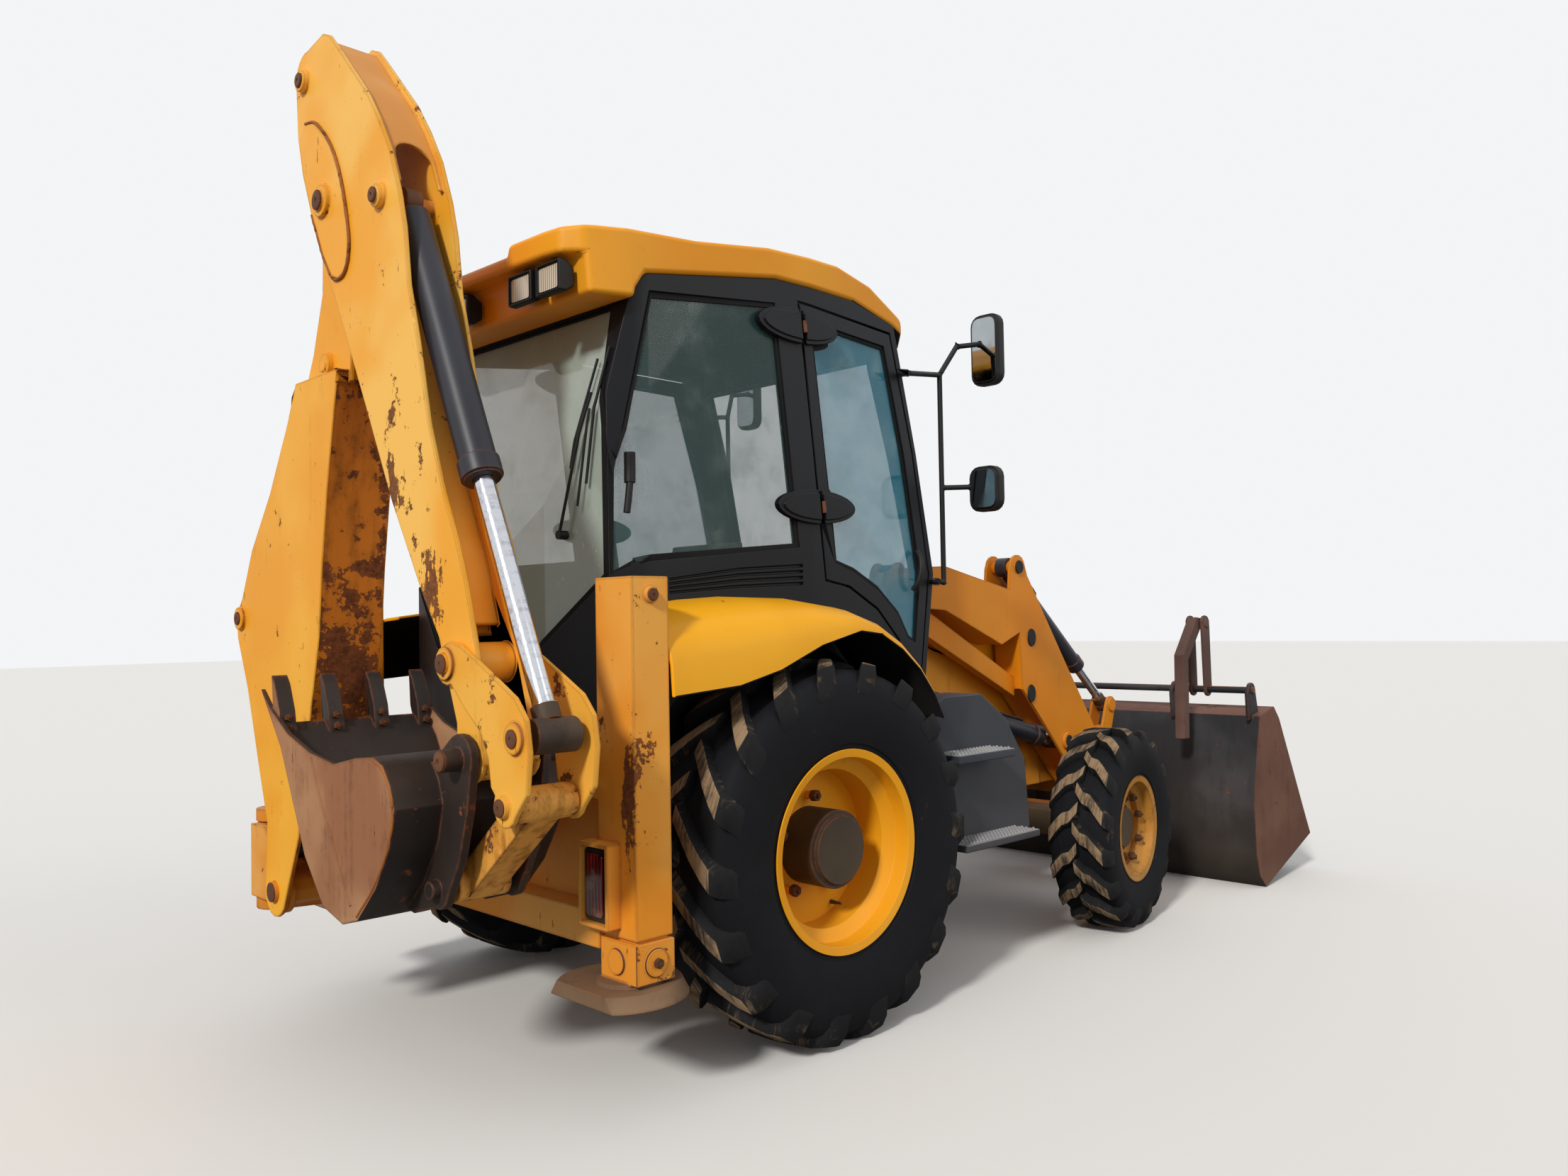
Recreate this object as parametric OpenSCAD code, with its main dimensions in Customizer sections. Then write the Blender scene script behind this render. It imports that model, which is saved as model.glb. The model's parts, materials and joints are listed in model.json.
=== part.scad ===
// Backhoe loader with a side-shifting backhoe, parked with the backhoe folded across its tail.
// All lengths are in millimetres. X runs forward, Y to the left and Z up.
// Inside the modules X is counted from the rear axle; the last lines move the whole machine.

/* [Wheels] */
// Distance between the axles
wheelbase = 2170; // [2100:10:2300]
// Radius of a rear tyre over its lugs
rear_r = 722; // [700:1:730]
// Width of a rear tyre
rear_w = 420; // [380:5:430]
// Distance of a rear tyre's middle from the centre line
rear_y = 945; // [940:5:950]
// Radius of the rear rim at the tyre's bead
rear_rim_r = 362; // [340:1:375]
// Radius of a front tyre over its lugs
front_r = 505; // [480:1:510]
// Width of a front tyre
front_w = 318; // [280:2:320]
// Distance of a front tyre's middle from the centre line, wheels straight
front_y = 955; // [950:1:965]
// Radius of the front rim at the tyre's bead
front_rim_r = 245; // [230:1:255]
// Height of the tread lugs
lug_h = 38; // [20:1:45]
// Angle at which the front wheels are turned to the left
steer_rest = 9; // [0:1:12]
// Distance of a steering pin from the centre line
kingpin_y = 745; // [735:1:750]

/* [Tail frame and stabilisers] */
// Width over the two stabiliser legs
frame_w = 2220; // [2200:10:2260]
// Width of a stabiliser leg across the machine
leg_w = 200; // [180:5:210]
// Depth of a stabiliser leg along the machine
leg_d = 150; // [130:5:150]
// Wall of a stabiliser leg
leg_wall = 12; // [8:1:14]
// Height of the top of the legs
leg_top_z = 1745; // [1700:5:1780]
// Radius of a stabiliser pad
pad_r = 232; // [220:2:240]
// Distance of a pad's middle inwards from its leg
pad_in = 60; // [40:5:70]
// Distance of a pad's middle behind its leg
pad_back = 25; // [10:5:30]

/* [Backhoe] */
// Distance of the slew pin behind the rear axle
king_back = 1400; // [1395:1:1410]
// Width of the lower boom over its plates
boom_w = 240; // [230:2:250]
// Width of the dipper over its plates
dipper_w = 200; // [190:2:204]
// Thickness of the boom and dipper plates
plate_t = 16; // [12:1:18]
// Width of the digging bucket
dig_w = 590; // [560:5:594]

/* [Cab] */
// Half the width of the cab at its waist
cab_half = 780; // [760:2:790]
// Thickness of the cab's walls and pillars
wall = 45; // [35:1:50]
// Height of the cab's top edge at its rear pillars
cab_top_z = 2860; // [2840:5:2880]
// Half the width of the hood
hood_half = 300; // [280:2:305]
// Thickness of the hood's sheet
hood_t = 12; // [8:1:16]

/* [Loader] */
// Distance of a loader arm's outer plate from the centre line
arm_out = 500; // [495:1:510]
// Distance of a loader arm's inner plate from the centre line
arm_in = 330; // [325:1:335]
// Thickness of the loader arm plates
arm_t = 18; // [12:1:20]
// Width of the loader bucket
bucket_w = 2350; // [2300:10:2400]
// Thickness of the loader bucket's sheets
bucket_t = 22; // [16:1:25]

/* [Fits] */
// Radial clearance of a pin in its bore
fit = 0.3; // [0.2:0.05:0.4]
// Side clearance between plates that turn on each other
side_gap = 5; // [5:0.5:6]

/* [Hidden] */
$fn = 48;

yellow = [0.93, 0.62, 0.08];
black = [0.1, 0.1, 0.11];
rust = [0.4, 0.22, 0.14];
steel = [0.7, 0.7, 0.72];

// Flat outlines stand up in the machine with these two: xz_plate draws X and Z, yz_plate draws Y and Z
module xz_plate(y0, y1) translate([0, y1, 0]) rotate([90, 0, 0]) linear_extrude(y1 - y0) children();
module yz_plate(x0, x1) translate([x0, 0, 0]) rotate([90, 0, 90]) linear_extrude(x1 - x0) children();
// A pin along Y, and a pin along X
module y_pin(x, z, r, y0, y1) translate([x, y1, z]) rotate([90, 0, 0]) cylinder(r = r, h = y1 - y0);
module x_pin(y, z, r, x0, x1) translate([x0, y, z]) rotate([0, 90, 0]) cylinder(r = r, h = x1 - x0);
// Both sides of the machine
module both_sides() {
    children();
    mirror([0, 1, 0]) children();
}
module block(x0, x1, y0, y1, z0, z1) translate([x0, y0, z0]) cube([x1 - x0, y1 - y0, z1 - z0]);
// Points of an arc about c, from angle a0 to a1
function arc(c, r, a0, a1, n = 6) = [for (i = [0:n]) c + r * [cos(a0 + (a1 - a0) * i / n), sin(a0 + (a1 - a0) * i / n)]];

// Tyres: one closed skin over rings that follow the tread, lugs alternate left and right
tyre_pitch = [0, 0.42, 0.5, 0.92];
// Columns: side position as a share of half the width, radius as a share of the wall, lug share, half (-1, 0, 1)
tyre_rows = [[-0.80, 0, 0, 0], [-1.0, 0.42, 0, 0], [-0.97, 0.86, 0.2, -1], [-0.86, 0.98, 1, -1], [-0.06, 1, 1, -1],
    [0.06, 1, 1, 1], [0.86, 0.98, 1, 1], [0.97, 0.86, 0.2, 1], [1.0, 0.42, 0, 0], [0.80, 0, 0, 0]];
module tyre(r, w, bore_r, lugs, skew) {
    rows = len(tyre_rows);
    rings = lugs * 4;
    base = r - lug_h;
    function up(j, side) = side == 0 ? 0.5 : (j % 4 < 2) == (side < 0) ? 1 : 0;
    function ring_angle(j) = 360 / lugs * (floor(j / 4) + tyre_pitch[j % 4]);
    points = [for (j = [0:rings - 1]) for (row = tyre_rows)
        let (rr = bore_r + (base - bore_r) * row[1] + lug_h * row[2] * up(j, row[3]) * (row[1] > 0 ? 1 : 0),
            a = ring_angle(j) + skew * abs(row[0]) * (row[3] == 0 ? 0.9 : 1))
        [rr * sin(a), row[0] * w / 2, rr * cos(a)]];
    faces = [for (j = [0:rings - 1]) for (i = [0:rows - 1])
        let (a = j * rows + i, b = j * rows + (i + 1) % rows, c = ((j + 1) % rings) * rows + (i + 1) % rows,
            d = ((j + 1) % rings) * rows + i)
        each [[a, b, c], [a, c, d]]];
    polyhedron(points, faces, convexity = 6);
}
function rim_gap_r(bore_r, lugs) = bore_r * cos(360 / lugs * 0.21) - fit;

// Rim: a rolled barrel with two flanges, a dished disc and a hub, outer face towards -Y
module rim(bead_r, w, disc_y, hub_r, hub_y, bore_r, studs, stud_pcd) {
    flange = 22;
    step = bead_r * 0.13;
    hub_step = 20;
    half = w / 2;
    difference() {
        union() {
            rotate([90, 0, 0]) rotate_extrude() polygon([
                [bead_r, half * 0.80], [bead_r, half * 0.92], [bead_r + flange, half * 0.955],
                [bead_r + flange, half * 0.99], [bead_r - 10, half * 0.96], [bead_r - 14, half * 0.62],
                [bead_r - 14 - step, half * 0.45], [bead_r - 14 - step, -half * 0.45], [bead_r - 14, -half * 0.62],
                [bead_r - 10, -half * 0.96], [bead_r + flange, -half * 0.99], [bead_r + flange, -half * 0.955],
                [bead_r, -half * 0.92], [bead_r, -half * 0.80], [bead_r, -half * 0.58],
                [bead_r - step, -half * 0.40], [bead_r - step, half * 0.40], [bead_r, half * 0.58]]);
            y_pin(0, 0, bead_r - step - 2, disc_y, disc_y + 16);
            y_pin(0, 0, hub_r, -half + hub_y + hub_step, disc_y + 60);
            y_pin(0, 0, hub_r - hub_step, -half + hub_y, disc_y + 60);
            for (i = [0:studs - 1]) {
                a = 360 / studs * i + 17;
                y_pin(stud_pcd / 2 * cos(a), stud_pcd / 2 * sin(a), 16, disc_y - 34, disc_y + 8);
            }
        }
        y_pin(0, 0, bore_r, disc_y - 14, disc_y + 61);
    }
}

spindle_r = 50;
rear_z = rear_r;
front_z = front_r;
rear_disc_y = 40;
front_disc_y = -36;
module tyre_rear() color(black) translate([0, 0, rear_z]) tyre(rear_r, rear_w, rear_rim_r, 18, -15);
module rim_rear() color(yellow) translate([0, 0, rear_z])
    rim(rim_gap_r(rear_rim_r, 18), rear_w * 0.9, rear_disc_y, 148, 45, spindle_r + fit, 5, 384);
module tyre_front() color(black) translate([0, 0, front_z]) tyre(front_r, front_w, front_rim_r, 16, -14);
module rim_front() color(yellow) translate([0, 0, front_z])
    rim(rim_gap_r(front_rim_r, 16), front_w * 0.9, front_disc_y, 120, 70, spindle_r + fit, 8, 320);
// A rear wheel on side s, which is -1 on the right and 1 on the left
module at_rear(s) translate([0, s * rear_y, 0]) scale_side(s) children();
module scale_side(s) {
    if (s < 0) children();
    else mirror([0, 1, 0]) children();
}
// A front wheel turned about its steering pin
module steered(s) translate([wheelbase, s * kingpin_y, 0]) rotate([0, 0, steer_rest]) children();
module at_front(s) steered(s) translate([0, s * (front_y - kingpin_y), 0]) scale_side(s) children();

// Axles: banjo housing and hubs behind, beam with forks in front
module axles() color(black) {
    difference() {
        union() {
            y_pin(0, rear_z, 95, -(rear_y - 130), rear_y - 130);
            translate([0, 0, rear_z]) sphere(r = 190);
            both_sides() {
                y_pin(0, rear_z, 165, rear_y - 200, rear_y - 130);
                y_pin(0, rear_z, spindle_r, rear_y - 131, rear_y - rear_disc_y + 10);
            }
        }
    }
    both_sides() block(-110, 110, rail_in + 5, rail_out, rear_z - 40, axle_seat_z - fit);
    front_beam();
}
kingpin_r = 22;
fork_h = 90;
module front_beam() {
    difference() {
        union() {
            block(wheelbase - 75, wheelbase + 75, -(kingpin_y - 95), kingpin_y - 95, front_z - 70, front_z + 70);
            translate([0, 0, front_z]) block(wheelbase - 95, wheelbase + 95, -150, 150, -95, 100);
            both_sides() {
                block(wheelbase - 50, wheelbase + 50, kingpin_y - 96, kingpin_y, front_z - fork_h - 32, front_z - fork_h);
                block(wheelbase - 50, wheelbase + 50, kingpin_y - 96, kingpin_y, front_z + fork_h, front_z + fork_h + 32);
                block(wheelbase - 50, wheelbase + 50, kingpin_y - 96, kingpin_y - 66, front_z - fork_h - 1, front_z + fork_h + 1);
                for (z = [front_z - fork_h - 32, front_z + fork_h]) translate([wheelbase, kingpin_y, z])
                    cylinder(r = 50, h = 32);
            }
        }
        both_sides() translate([wheelbase, kingpin_y, front_z - 200]) cylinder(r = kingpin_r + fit, h = 400);
    }
}
// Knuckle: drum on a steering pin with the wheel's spindle
module knuckle(s) color(black) steered(s) {
    translate([0, 0, front_z - fork_h - 30]) cylinder(r = kingpin_r, h = fork_h * 2 + 60);
    translate([0, 0, front_z - fork_h + side_gap]) cylinder(r = 52, h = 2 * (fork_h - side_gap));
    scale_side(s) {
        y_pin(0, front_z, 75, -70, 0);
        y_pin(0, front_z, spindle_r, front_disc_y - (front_y - kingpin_y) + 10, -60);
    }
}

// Chassis: two rails, cross members, side plates beside the engine, towers for the loader arms, nose
rail_in = 230;
rail_out = 315;
rail_z0 = 640;
rail_z1 = 850;
axle_seat_z = 825;
cab_floor_z = 1040;
arm_pivot = [1250, 1740];
lift_base = [1180, 1205];
nose_x = 2790;
hood_pivot = [1347, 1812];
hinge_r = 8;
rail_side = [[-868, rail_z0], [-320, rail_z0], [-210, axle_seat_z], [210, axle_seat_z], [320, rail_z0], [2730, rail_z0],
    [2730, rail_z1], [500, rail_z1], [350, 980], [-350, 980], [-450, rail_z1], [-868, rail_z1]];
side_plate = [[980, 700], [980, 1030], [1030, 1290], [1066, 1500], [1130, 1500], [1180, 1830], [1320, 1830], [1360, 1500], [1560, 1420],
    [2100, 1290], [2480, 1080], [2500, 640], [2360, 640], [2280, 760], [1100, 640]];
module chassis() color(yellow) {
    difference() {
        union() {
            both_sides() {
                xz_plate(rail_in, rail_out) polygon(rail_side);
                xz_plate(rail_out, rail_out + 10) difference() {
                    polygon(side_plate);
                    translate([2350, 740]) square([16, 90], center = true);
                }
                y_pin(arm_pivot[0], arm_pivot[1], 85, 250, arm_in - side_gap);
                y_pin(lift_base[0], lift_base[1], 54, 250, arm_mid - 30 - side_gap);
                y_pin(hood_pivot[0], hood_pivot[1], hinge_r, 120, 175);
                xz_plate(120, 136) polygon(concat(arc(hood_pivot, 14, -20, 190), [[1310, 1794], [1343, 1794]]));
            }
            y_pin(arm_pivot[0], arm_pivot[1], 40, -(arm_out + 12), arm_out + 12);
            y_pin(lift_base[0], lift_base[1], 28, -470, 470);
            xz_plate(-250, 250) polygon([[1110, 1640], [1110, 1795], [1344, 1795], [1344, 1640]]);
            block(-868, -780, -rail_in - 1, rail_in + 1, rail_z0, rail_z1);
            block(950, 1030, -rail_in - 1, rail_in + 1, rail_z0, rail_z1);
            block(nose_x - 160, nose_x - 60, -rail_in - 1, rail_in + 1, rail_z0, rail_z1);
            block(nose_x - 70, nose_x, -hood_half, hood_half, 560, 1000);
            block(wheelbase - 100, wheelbase + 100, -rail_in - 1, rail_in + 1, front_z + 100, rail_z1);
            cab_mounts();
        }
    }
}
module cab_mounts() {
    both_sides() {
        block(-490, -390, rail_out - 1, 460, rail_z1 - 60, cab_floor_z - fit);
        block(700, 820, rail_out - 1, 460, rail_z1 - 60, cab_floor_z - fit);
    }
    for (x = [-500, 640]) block(x, x + 120, -rail_in - 1, rail_in + 1, rail_z1 - 60, rail_z1 - 20);
}
module engine() color([0.35, 0.35, 0.36]) {
    block(1420, 2350, -210, 210, rail_z1 + fit, 1470);
}

// Tail frame: two rails that the carriage runs on, back web, leg boxes and lamp boxes
leg_x0 = -990;
leg_x1 = leg_x0 + leg_d;
leg_y1 = frame_w / 2;
leg_y0 = leg_y1 - leg_w;
leg_box_z = 575;
rail_lo = [520, 640];
rail_hi = [1010, 1120];
module tail_frame() color(yellow) {
    for (z = [rail_lo, rail_hi]) block(leg_x0, leg_x1 - 30, -leg_y0 - 1, leg_y0 + 1, z[0], z[1]);
    block(leg_x1 - 60, leg_x1 - 30, -leg_y0 - 1, leg_y0 + 1, rail_lo[1] - 1, rail_hi[0] + 1);
    both_sides() {
        block(leg_x1 - 31, -700, rail_out + fit, rail_out + 25, rail_lo[1], rail_hi[0]);
        difference() {
            block(leg_x0, leg_x1, leg_y0, leg_y1, leg_box_z, leg_top_z);
            block(leg_x0 + leg_wall, leg_x1 - leg_wall, leg_y0 + leg_wall, leg_y1 - leg_wall,
                leg_box_z - 1, leg_top_z - 10);
        }
        y_pin((leg_x0 + leg_x1) / 2, leg_top_z - 60, 26, leg_y1 - 1, leg_y1 + 14);
        lamp_box();
    }
}
lamp_d = 55;
lamp_w = 160;
lamp_rim = 14;
lamp_z = [605, 880];
module lamp_box() {
    difference() {
        block(leg_x0 - lamp_d, leg_x0 + 60, leg_y0 - 40, leg_y0 - 40 + lamp_w, lamp_z[0], lamp_z[1]);
        block(leg_x0 - lamp_d - 1, leg_x0 - 30, leg_y0 - 40 + lamp_rim, leg_y0 - 40 + lamp_w - lamp_rim,
            lamp_z[0] + lamp_rim, lamp_z[1] - lamp_rim);
        block(leg_x0, leg_x0 + 61, leg_y0 + 1, leg_y0 + lamp_w, lamp_z[0] - 1, lamp_z[1] + 1);
    }
}
// Stabiliser: inner leg, foot collar with round plugs, and pad
stab_gap = 0.5;
collar_z = [432, 566];
pad_z = 372;
// A pad's straight rear edge, clear of the bucket that swings past it
pad_rear = dig_w / 2 - king_back + 8;
module stabiliser(s) color(yellow) scale_side(-s) {
    cx = (leg_x0 + leg_x1) / 2;
    cy = (leg_y0 + leg_y1) / 2;
    inset = leg_wall + stab_gap;
    difference() {
        block(leg_x0 + inset, leg_x1 - inset, leg_y0 + inset, leg_y1 - inset, collar_z[0] + 10, leg_top_z - 120);
        block(leg_x0 + inset + 10, leg_x1 - inset - 10, leg_y0 + inset + 10, leg_y1 - inset - 10,
            collar_z[1], leg_top_z - 119);
    }
    block(leg_x0 - 2, leg_x1 + 4, leg_y0 + 8, leg_y1 + 4, collar_z[0], collar_z[1]);
    x_pin(cy, (collar_z[0] + collar_z[1]) / 2, 42, leg_x0 - 12, leg_x0);
    y_pin(cx, (collar_z[0] + collar_z[1]) / 2, 46, leg_y1, leg_y1 + 12);
    translate([cx - pad_back, cy - pad_in, pad_z]) difference() {
        cylinder(r1 = pad_r, r2 = pad_r - 26, h = 50);
        translate([pad_rear - cx + pad_back - 200, -pad_r, -1]) cube([200, 2 * pad_r, 52]);
    }
    translate([cx - 10, cy - 20, pad_z + 49]) cylinder(r = 110, h = 14);
}

// Carriage and kingpost
king_x = -king_back;
king_y = leg_y0 - 210;
carr_half = 250;
carr_mid = 110;
carr_x1 = leg_x0 - side_gap;
carr_x0 = carr_x1 - 85;
ear_lo = [485, 535];
ear_hi = [830, 880];
slew_r = 32;
slide_gap = 0.5;
module carriage() color(yellow) {
    lip = [[carr_x1 - 1, -carr_half], [leg_x1 - 20, -carr_half], [leg_x1 - 20, 190], [carr_x1 - 1, 190]];
    block(carr_x0, carr_x1, -carr_mid, carr_mid, rail_lo[0], rail_hi[1]);
    block(carr_x0, carr_x1, -carr_half, carr_half, 470, 568);
    block(carr_x0, carr_x1, -carr_half, carr_half, 895, 1162);
    translate([0, 0, rail_hi[1] + slide_gap]) linear_extrude(1162 - rail_hi[1] - slide_gap) polygon(lip);
    translate([0, 0, 470]) linear_extrude(rail_lo[0] - slide_gap - 470) polygon(lip);
    difference() {
        union() for (z = [ear_lo, ear_hi]) translate([0, 0, z[0]]) linear_extrude(z[1] - z[0])
            polygon(concat([[carr_x0 + 1, carr_mid + 60], [carr_x0 + 1, -carr_mid - 60]],
                [for (p = arc([king_x, 0], 80, 262, 98, 8)) p]));
        translate([king_x, 0, 0]) cylinder(r = slew_r + fit, h = 1200);
    }
}
boom_pivot = [-270, 600];
boom_ram_base = [-180, 740];
king_w = boom_w - 2 * plate_t - 2 * side_gap;
king_boss_r = 85;
cheek_in = 71;
module kingpost() color(yellow) {
    z0 = ear_lo[1] + side_gap;
    z1 = ear_hi[0] - side_gap;
    translate([king_x, 0, ear_lo[0]]) cylinder(r = slew_r, h = ear_hi[1] - ear_lo[0]);
    translate([king_x, 0, z0]) cylinder(r = 75, h = z1 - z0);
    for (x = [king_x - king_w / 2, king_x + cheek_in]) yz_plate(x, x + king_w / 2 - cheek_in)
        polygon(concat([[20, z0], [20, z1], [-110, z1]], arc(boom_ram_base, 60, 60, 130, 4),
            arc(boom_pivot, king_boss_r, 160, 300, 8), [[-180, z0]]));
    yz_plate(king_x - cheek_in - 1, king_x + cheek_in + 1) polygon([[0, z0], [0, 670], [-230, 655],
        [-270, 655], [-305, 640], [-320, 600], [-305, 560], [-270, z0]]);
    yz_plate(king_x - cheek_in - 1, king_x + cheek_in + 1) polygon([[0, 660], [0, z1], [-50, z1], [-75, 660]]);
    for (s = [-1, 1]) x_pin(boom_ram_base[0], boom_ram_base[1], 46, king_x + s * 52 - 20, king_x + s * 52 + 20);
    x_pin(boom_ram_base[0], boom_ram_base[1], 24, king_x - king_w / 2, king_x + king_w / 2);
    x_pin(boom_pivot[0], boom_pivot[1], 38, king_x - boom_w / 2 - 14, king_x + boom_w / 2 + 14);
}

// Boom: two plates joined by a belly sheet, a narrower head that enters the dipper
boom_head = [-710, 3125];
boom_bulge = [45, 1639];
dipper_ram_base = [-675, 2543];
boom_back = [[-198, 853], [-110, 1085], [-10, 1360], [90, 1560], [100, 1640], [45, 1715], [-60, 1905],
    [-240, 2110], [-410, 2360], [-488, 2500]];
boom_belly = [[-845, 2500], [-821, 2402], [-751, 2086], [-705, 1814], [-676, 1563], [-603, 1296], [-488, 828]];
head_w = dipper_w - 2 * plate_t - 2 * side_gap - 8;
module boom_lower_outline() polygon(concat(arc(boom_pivot, 95, 215, 375, 8), boom_back, boom_belly));
module boom_head_outline() polygon(concat([[-460, 2460], [-540, 2600], [-625, 2820]], arc(boom_head, 80, 10, 190, 8),
    [[-815, 3000], [-865, 2700], [-850, 2460]]));
module boom() color(yellow) {
    x0 = king_x - boom_w / 2;
    x1 = king_x + boom_w / 2;
    h0 = king_x - head_w / 2;
    h1 = king_x + head_w / 2;
    difference() {
        union() {
            yz_plate(x0, x0 + plate_t) boom_lower_outline();
            yz_plate(x1 - plate_t, x1) boom_lower_outline();
            yz_plate(x0 + 1, x1 - 1) belly_strip();
            yz_plate(x0 + 1, x1 - 1) polygon([[-478, 2482], [-844, 2482], [-841, 2455], [-462, 2455]]);
            for (x = [h0, h1 - plate_t]) yz_plate(x, x + plate_t) boom_head_outline();
            yz_plate(h0 + 1, h1 - 1) polygon([[-845, 2465], [-865, 2700], [-815, 3000], [-788, 3040], [-766, 3030],
                [-793, 2990], [-840, 2700], [-820, 2465]]);
            x_pin(boom_head[0], boom_head[1], 50, h0, h1);
            x_pin(boom_bulge[0], boom_bulge[1], 45, x0 - 16, x0 + plate_t);
            x_pin(boom_bulge[0], boom_bulge[1], 45, x1 - plate_t, x1 + 16);
            x_pin(dipper_ram_base[0], dipper_ram_base[1], 42, h0 - 20, h0 + plate_t);
            x_pin(dipper_ram_base[0], dipper_ram_base[1], 42, h1 - plate_t, h1 + 20);
            x_pin(dipper_ram_base[0], dipper_ram_base[1], 26, h0 - 26, h1 + 26);
        }
        x_pin(boom_pivot[0], boom_pivot[1], 38 + fit, x0 - 20, x1 + 20);
        x_pin(boom_head[0], boom_head[1], 36 + fit, h0 - 20, h1 + 20);
    }
}
module belly_strip() polygon(concat(boom_belly, [for (i = [len(boom_belly) - 1:-1:0]) boom_belly[i] + [plate_t, 3]]));

// Dipper: two plates with a closing sheet on each edge, eyes at the tail, the nose and between
dipper_tail = [-543, 3617];
dig_ram_base = [-1140, 3030];
lever_pivot = [-1586, 1480];
dipper_nose = [-1680, 1200];
dipper_back = [[-464, 3600], [-477, 3422], [-516, 3275], [-588, 3110], [-664, 2962], [-832, 2675], [-1029, 2319],
    [-1194, 2013], [-1389, 1709], [-1500, 1560]];
dipper_front = [[-1745, 1180], [-1730, 1497], [-1666, 1715], [-1611, 1855], [-1539, 2000], [-1449, 2230], [-1379, 2512],
    [-1324, 2697], [-1299, 2894], [-1264, 3021], [-1200, 3180], [-1120, 3310], [-1030, 3430], [-923, 3541], [-810, 3660],
    [-750, 3720], [-700, 3743]];
module dipper_outline() polygon(concat(dipper_back, [[-1605, 1300]], arc(dipper_nose, 78, 10, -170, 8), dipper_front,
    arc([-550, 3640], 88, 100, 0, 6)));
module dipper() color(yellow) {
    x0 = king_x - dipper_w / 2;
    x1 = king_x + dipper_w / 2;
    difference() {
        union() {
            for (x = [x0, x1 - plate_t]) yz_plate(x, x + plate_t) dipper_outline();
            yz_plate(x0 + 1, x1 - 1) polygon([[-886, 2578], [-1029, 2319], [-1194, 2013], [-1389, 1709], [-1500, 1560],
                [-1484, 1610], [-1403, 1740], [-1212, 2035], [-1047, 2340], [-904, 2594]]);
            difference() {
                yz_plate(x0 + 1, x1 - 1) head_sheet();
                block(king_x - slot_half, king_x + slot_half, -1320, -1100, 3000, 3164);
                y_pin(king_x, 3164, slot_half, -1320, -1100);
            }
            for (x = [x0 - doubler_t, x1 - 1]) yz_plate(x, x + doubler_t + 1) polygon(doubler);
            yz_plate(x0 + 1, x1 - 1) dipper_floor();
            x_pin(dipper_nose[0], dipper_nose[1], 70, x0, x1);
            for (p = [dipper_tail, boom_head, dig_ram_base]) for (x = [x0 - 22, x1 - plate_t])
                x_pin(p[0], p[1], p == boom_head ? 58 : 40, x, x + plate_t + 22);
            x_pin(boom_head[0], boom_head[1], 36, x0 - 30, x1 + 30);
            x_pin(dig_ram_base[0], dig_ram_base[1], 26, x0 - 28, x1 + 28);
            x_pin(lever_pivot[0], lever_pivot[1], 62, x0, x1);
            x_pin(lever_pivot[0], lever_pivot[1], 30, x0 - 40, x1 + 40);
        }
        x_pin(dipper_nose[0], dipper_nose[1], 34 + fit, x0 - 20, x1 + 20);
    }
}
// The sheet over the head lies between the plates' edges, with an arch where the bucket ram comes out
slot_half = 67;
head_inset = 20;
head_mid = [-700, 3200];
head_edge = concat([[-1248, 3060]], [for (i = [10:16]) dipper_front[i]], [[-620, 3736]]);
module head_sheet() polygon(concat([for (p = head_edge) grow(p, head_mid, head_inset)],
    [for (i = [len(head_edge) - 1:-1:0]) grow(head_edge[i], head_mid, head_inset + plate_t)]));
// The second plate round the dipper's pivot ends in a hook
doubler_t = 7;
doubler = [[-560, 3452], [-629, 3438], [-761, 3323], [-850, 3168], [-901, 2995], [-908, 2906], [-881, 2841],
    [-826, 2821], [-772, 2840], [-706, 2925], [-610, 3100], [-537, 3275], [-500, 3400]];
// The sheet under the bucket ram, set back from the front edge so that the ram lies in a trough
module dipper_floor() polygon([[-1045, 3080], [-1120, 2860], [-1200, 2400], [-1300, 2180], [-1480, 1800], [-1550, 1600],
    [-1538, 1592], [-1465, 1792], [-1285, 2172], [-1184, 2400], [-1104, 2864], [-1031, 3074]]);

// Rams of the backhoe: barrel and rod between two points of the Y and Z plane
function span(a, b) = norm(b - a);
function heading(a, b) = atan2(b[1] - a[1], b[0] - a[0]);
module along_yz(a, b) translate([king_x, a[0], a[1]]) rotate([heading(a, b), 0, 0]) children();
// Barrel drawn along +Y: eye, tube and gland
module barrel(r, len, eye_r, eye_w, bore_r, rod_r) {
    difference() {
        union() {
            x_pin(0, 0, eye_r, -eye_w / 2, eye_w / 2);
            y_pin(0, 0, eye_w / 2 - 1, 0, eye_r + 20);
            y_pin(0, 0, r, eye_r + 8, len);
            y_pin(0, 0, r + 7, len - 70, len - 8);
        }
        x_pin(0, 0, bore_r + fit, -eye_w, eye_w);
        y_pin(0, 0, rod_r + fit, eye_r + 40, len + 1);
    }
}
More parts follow.
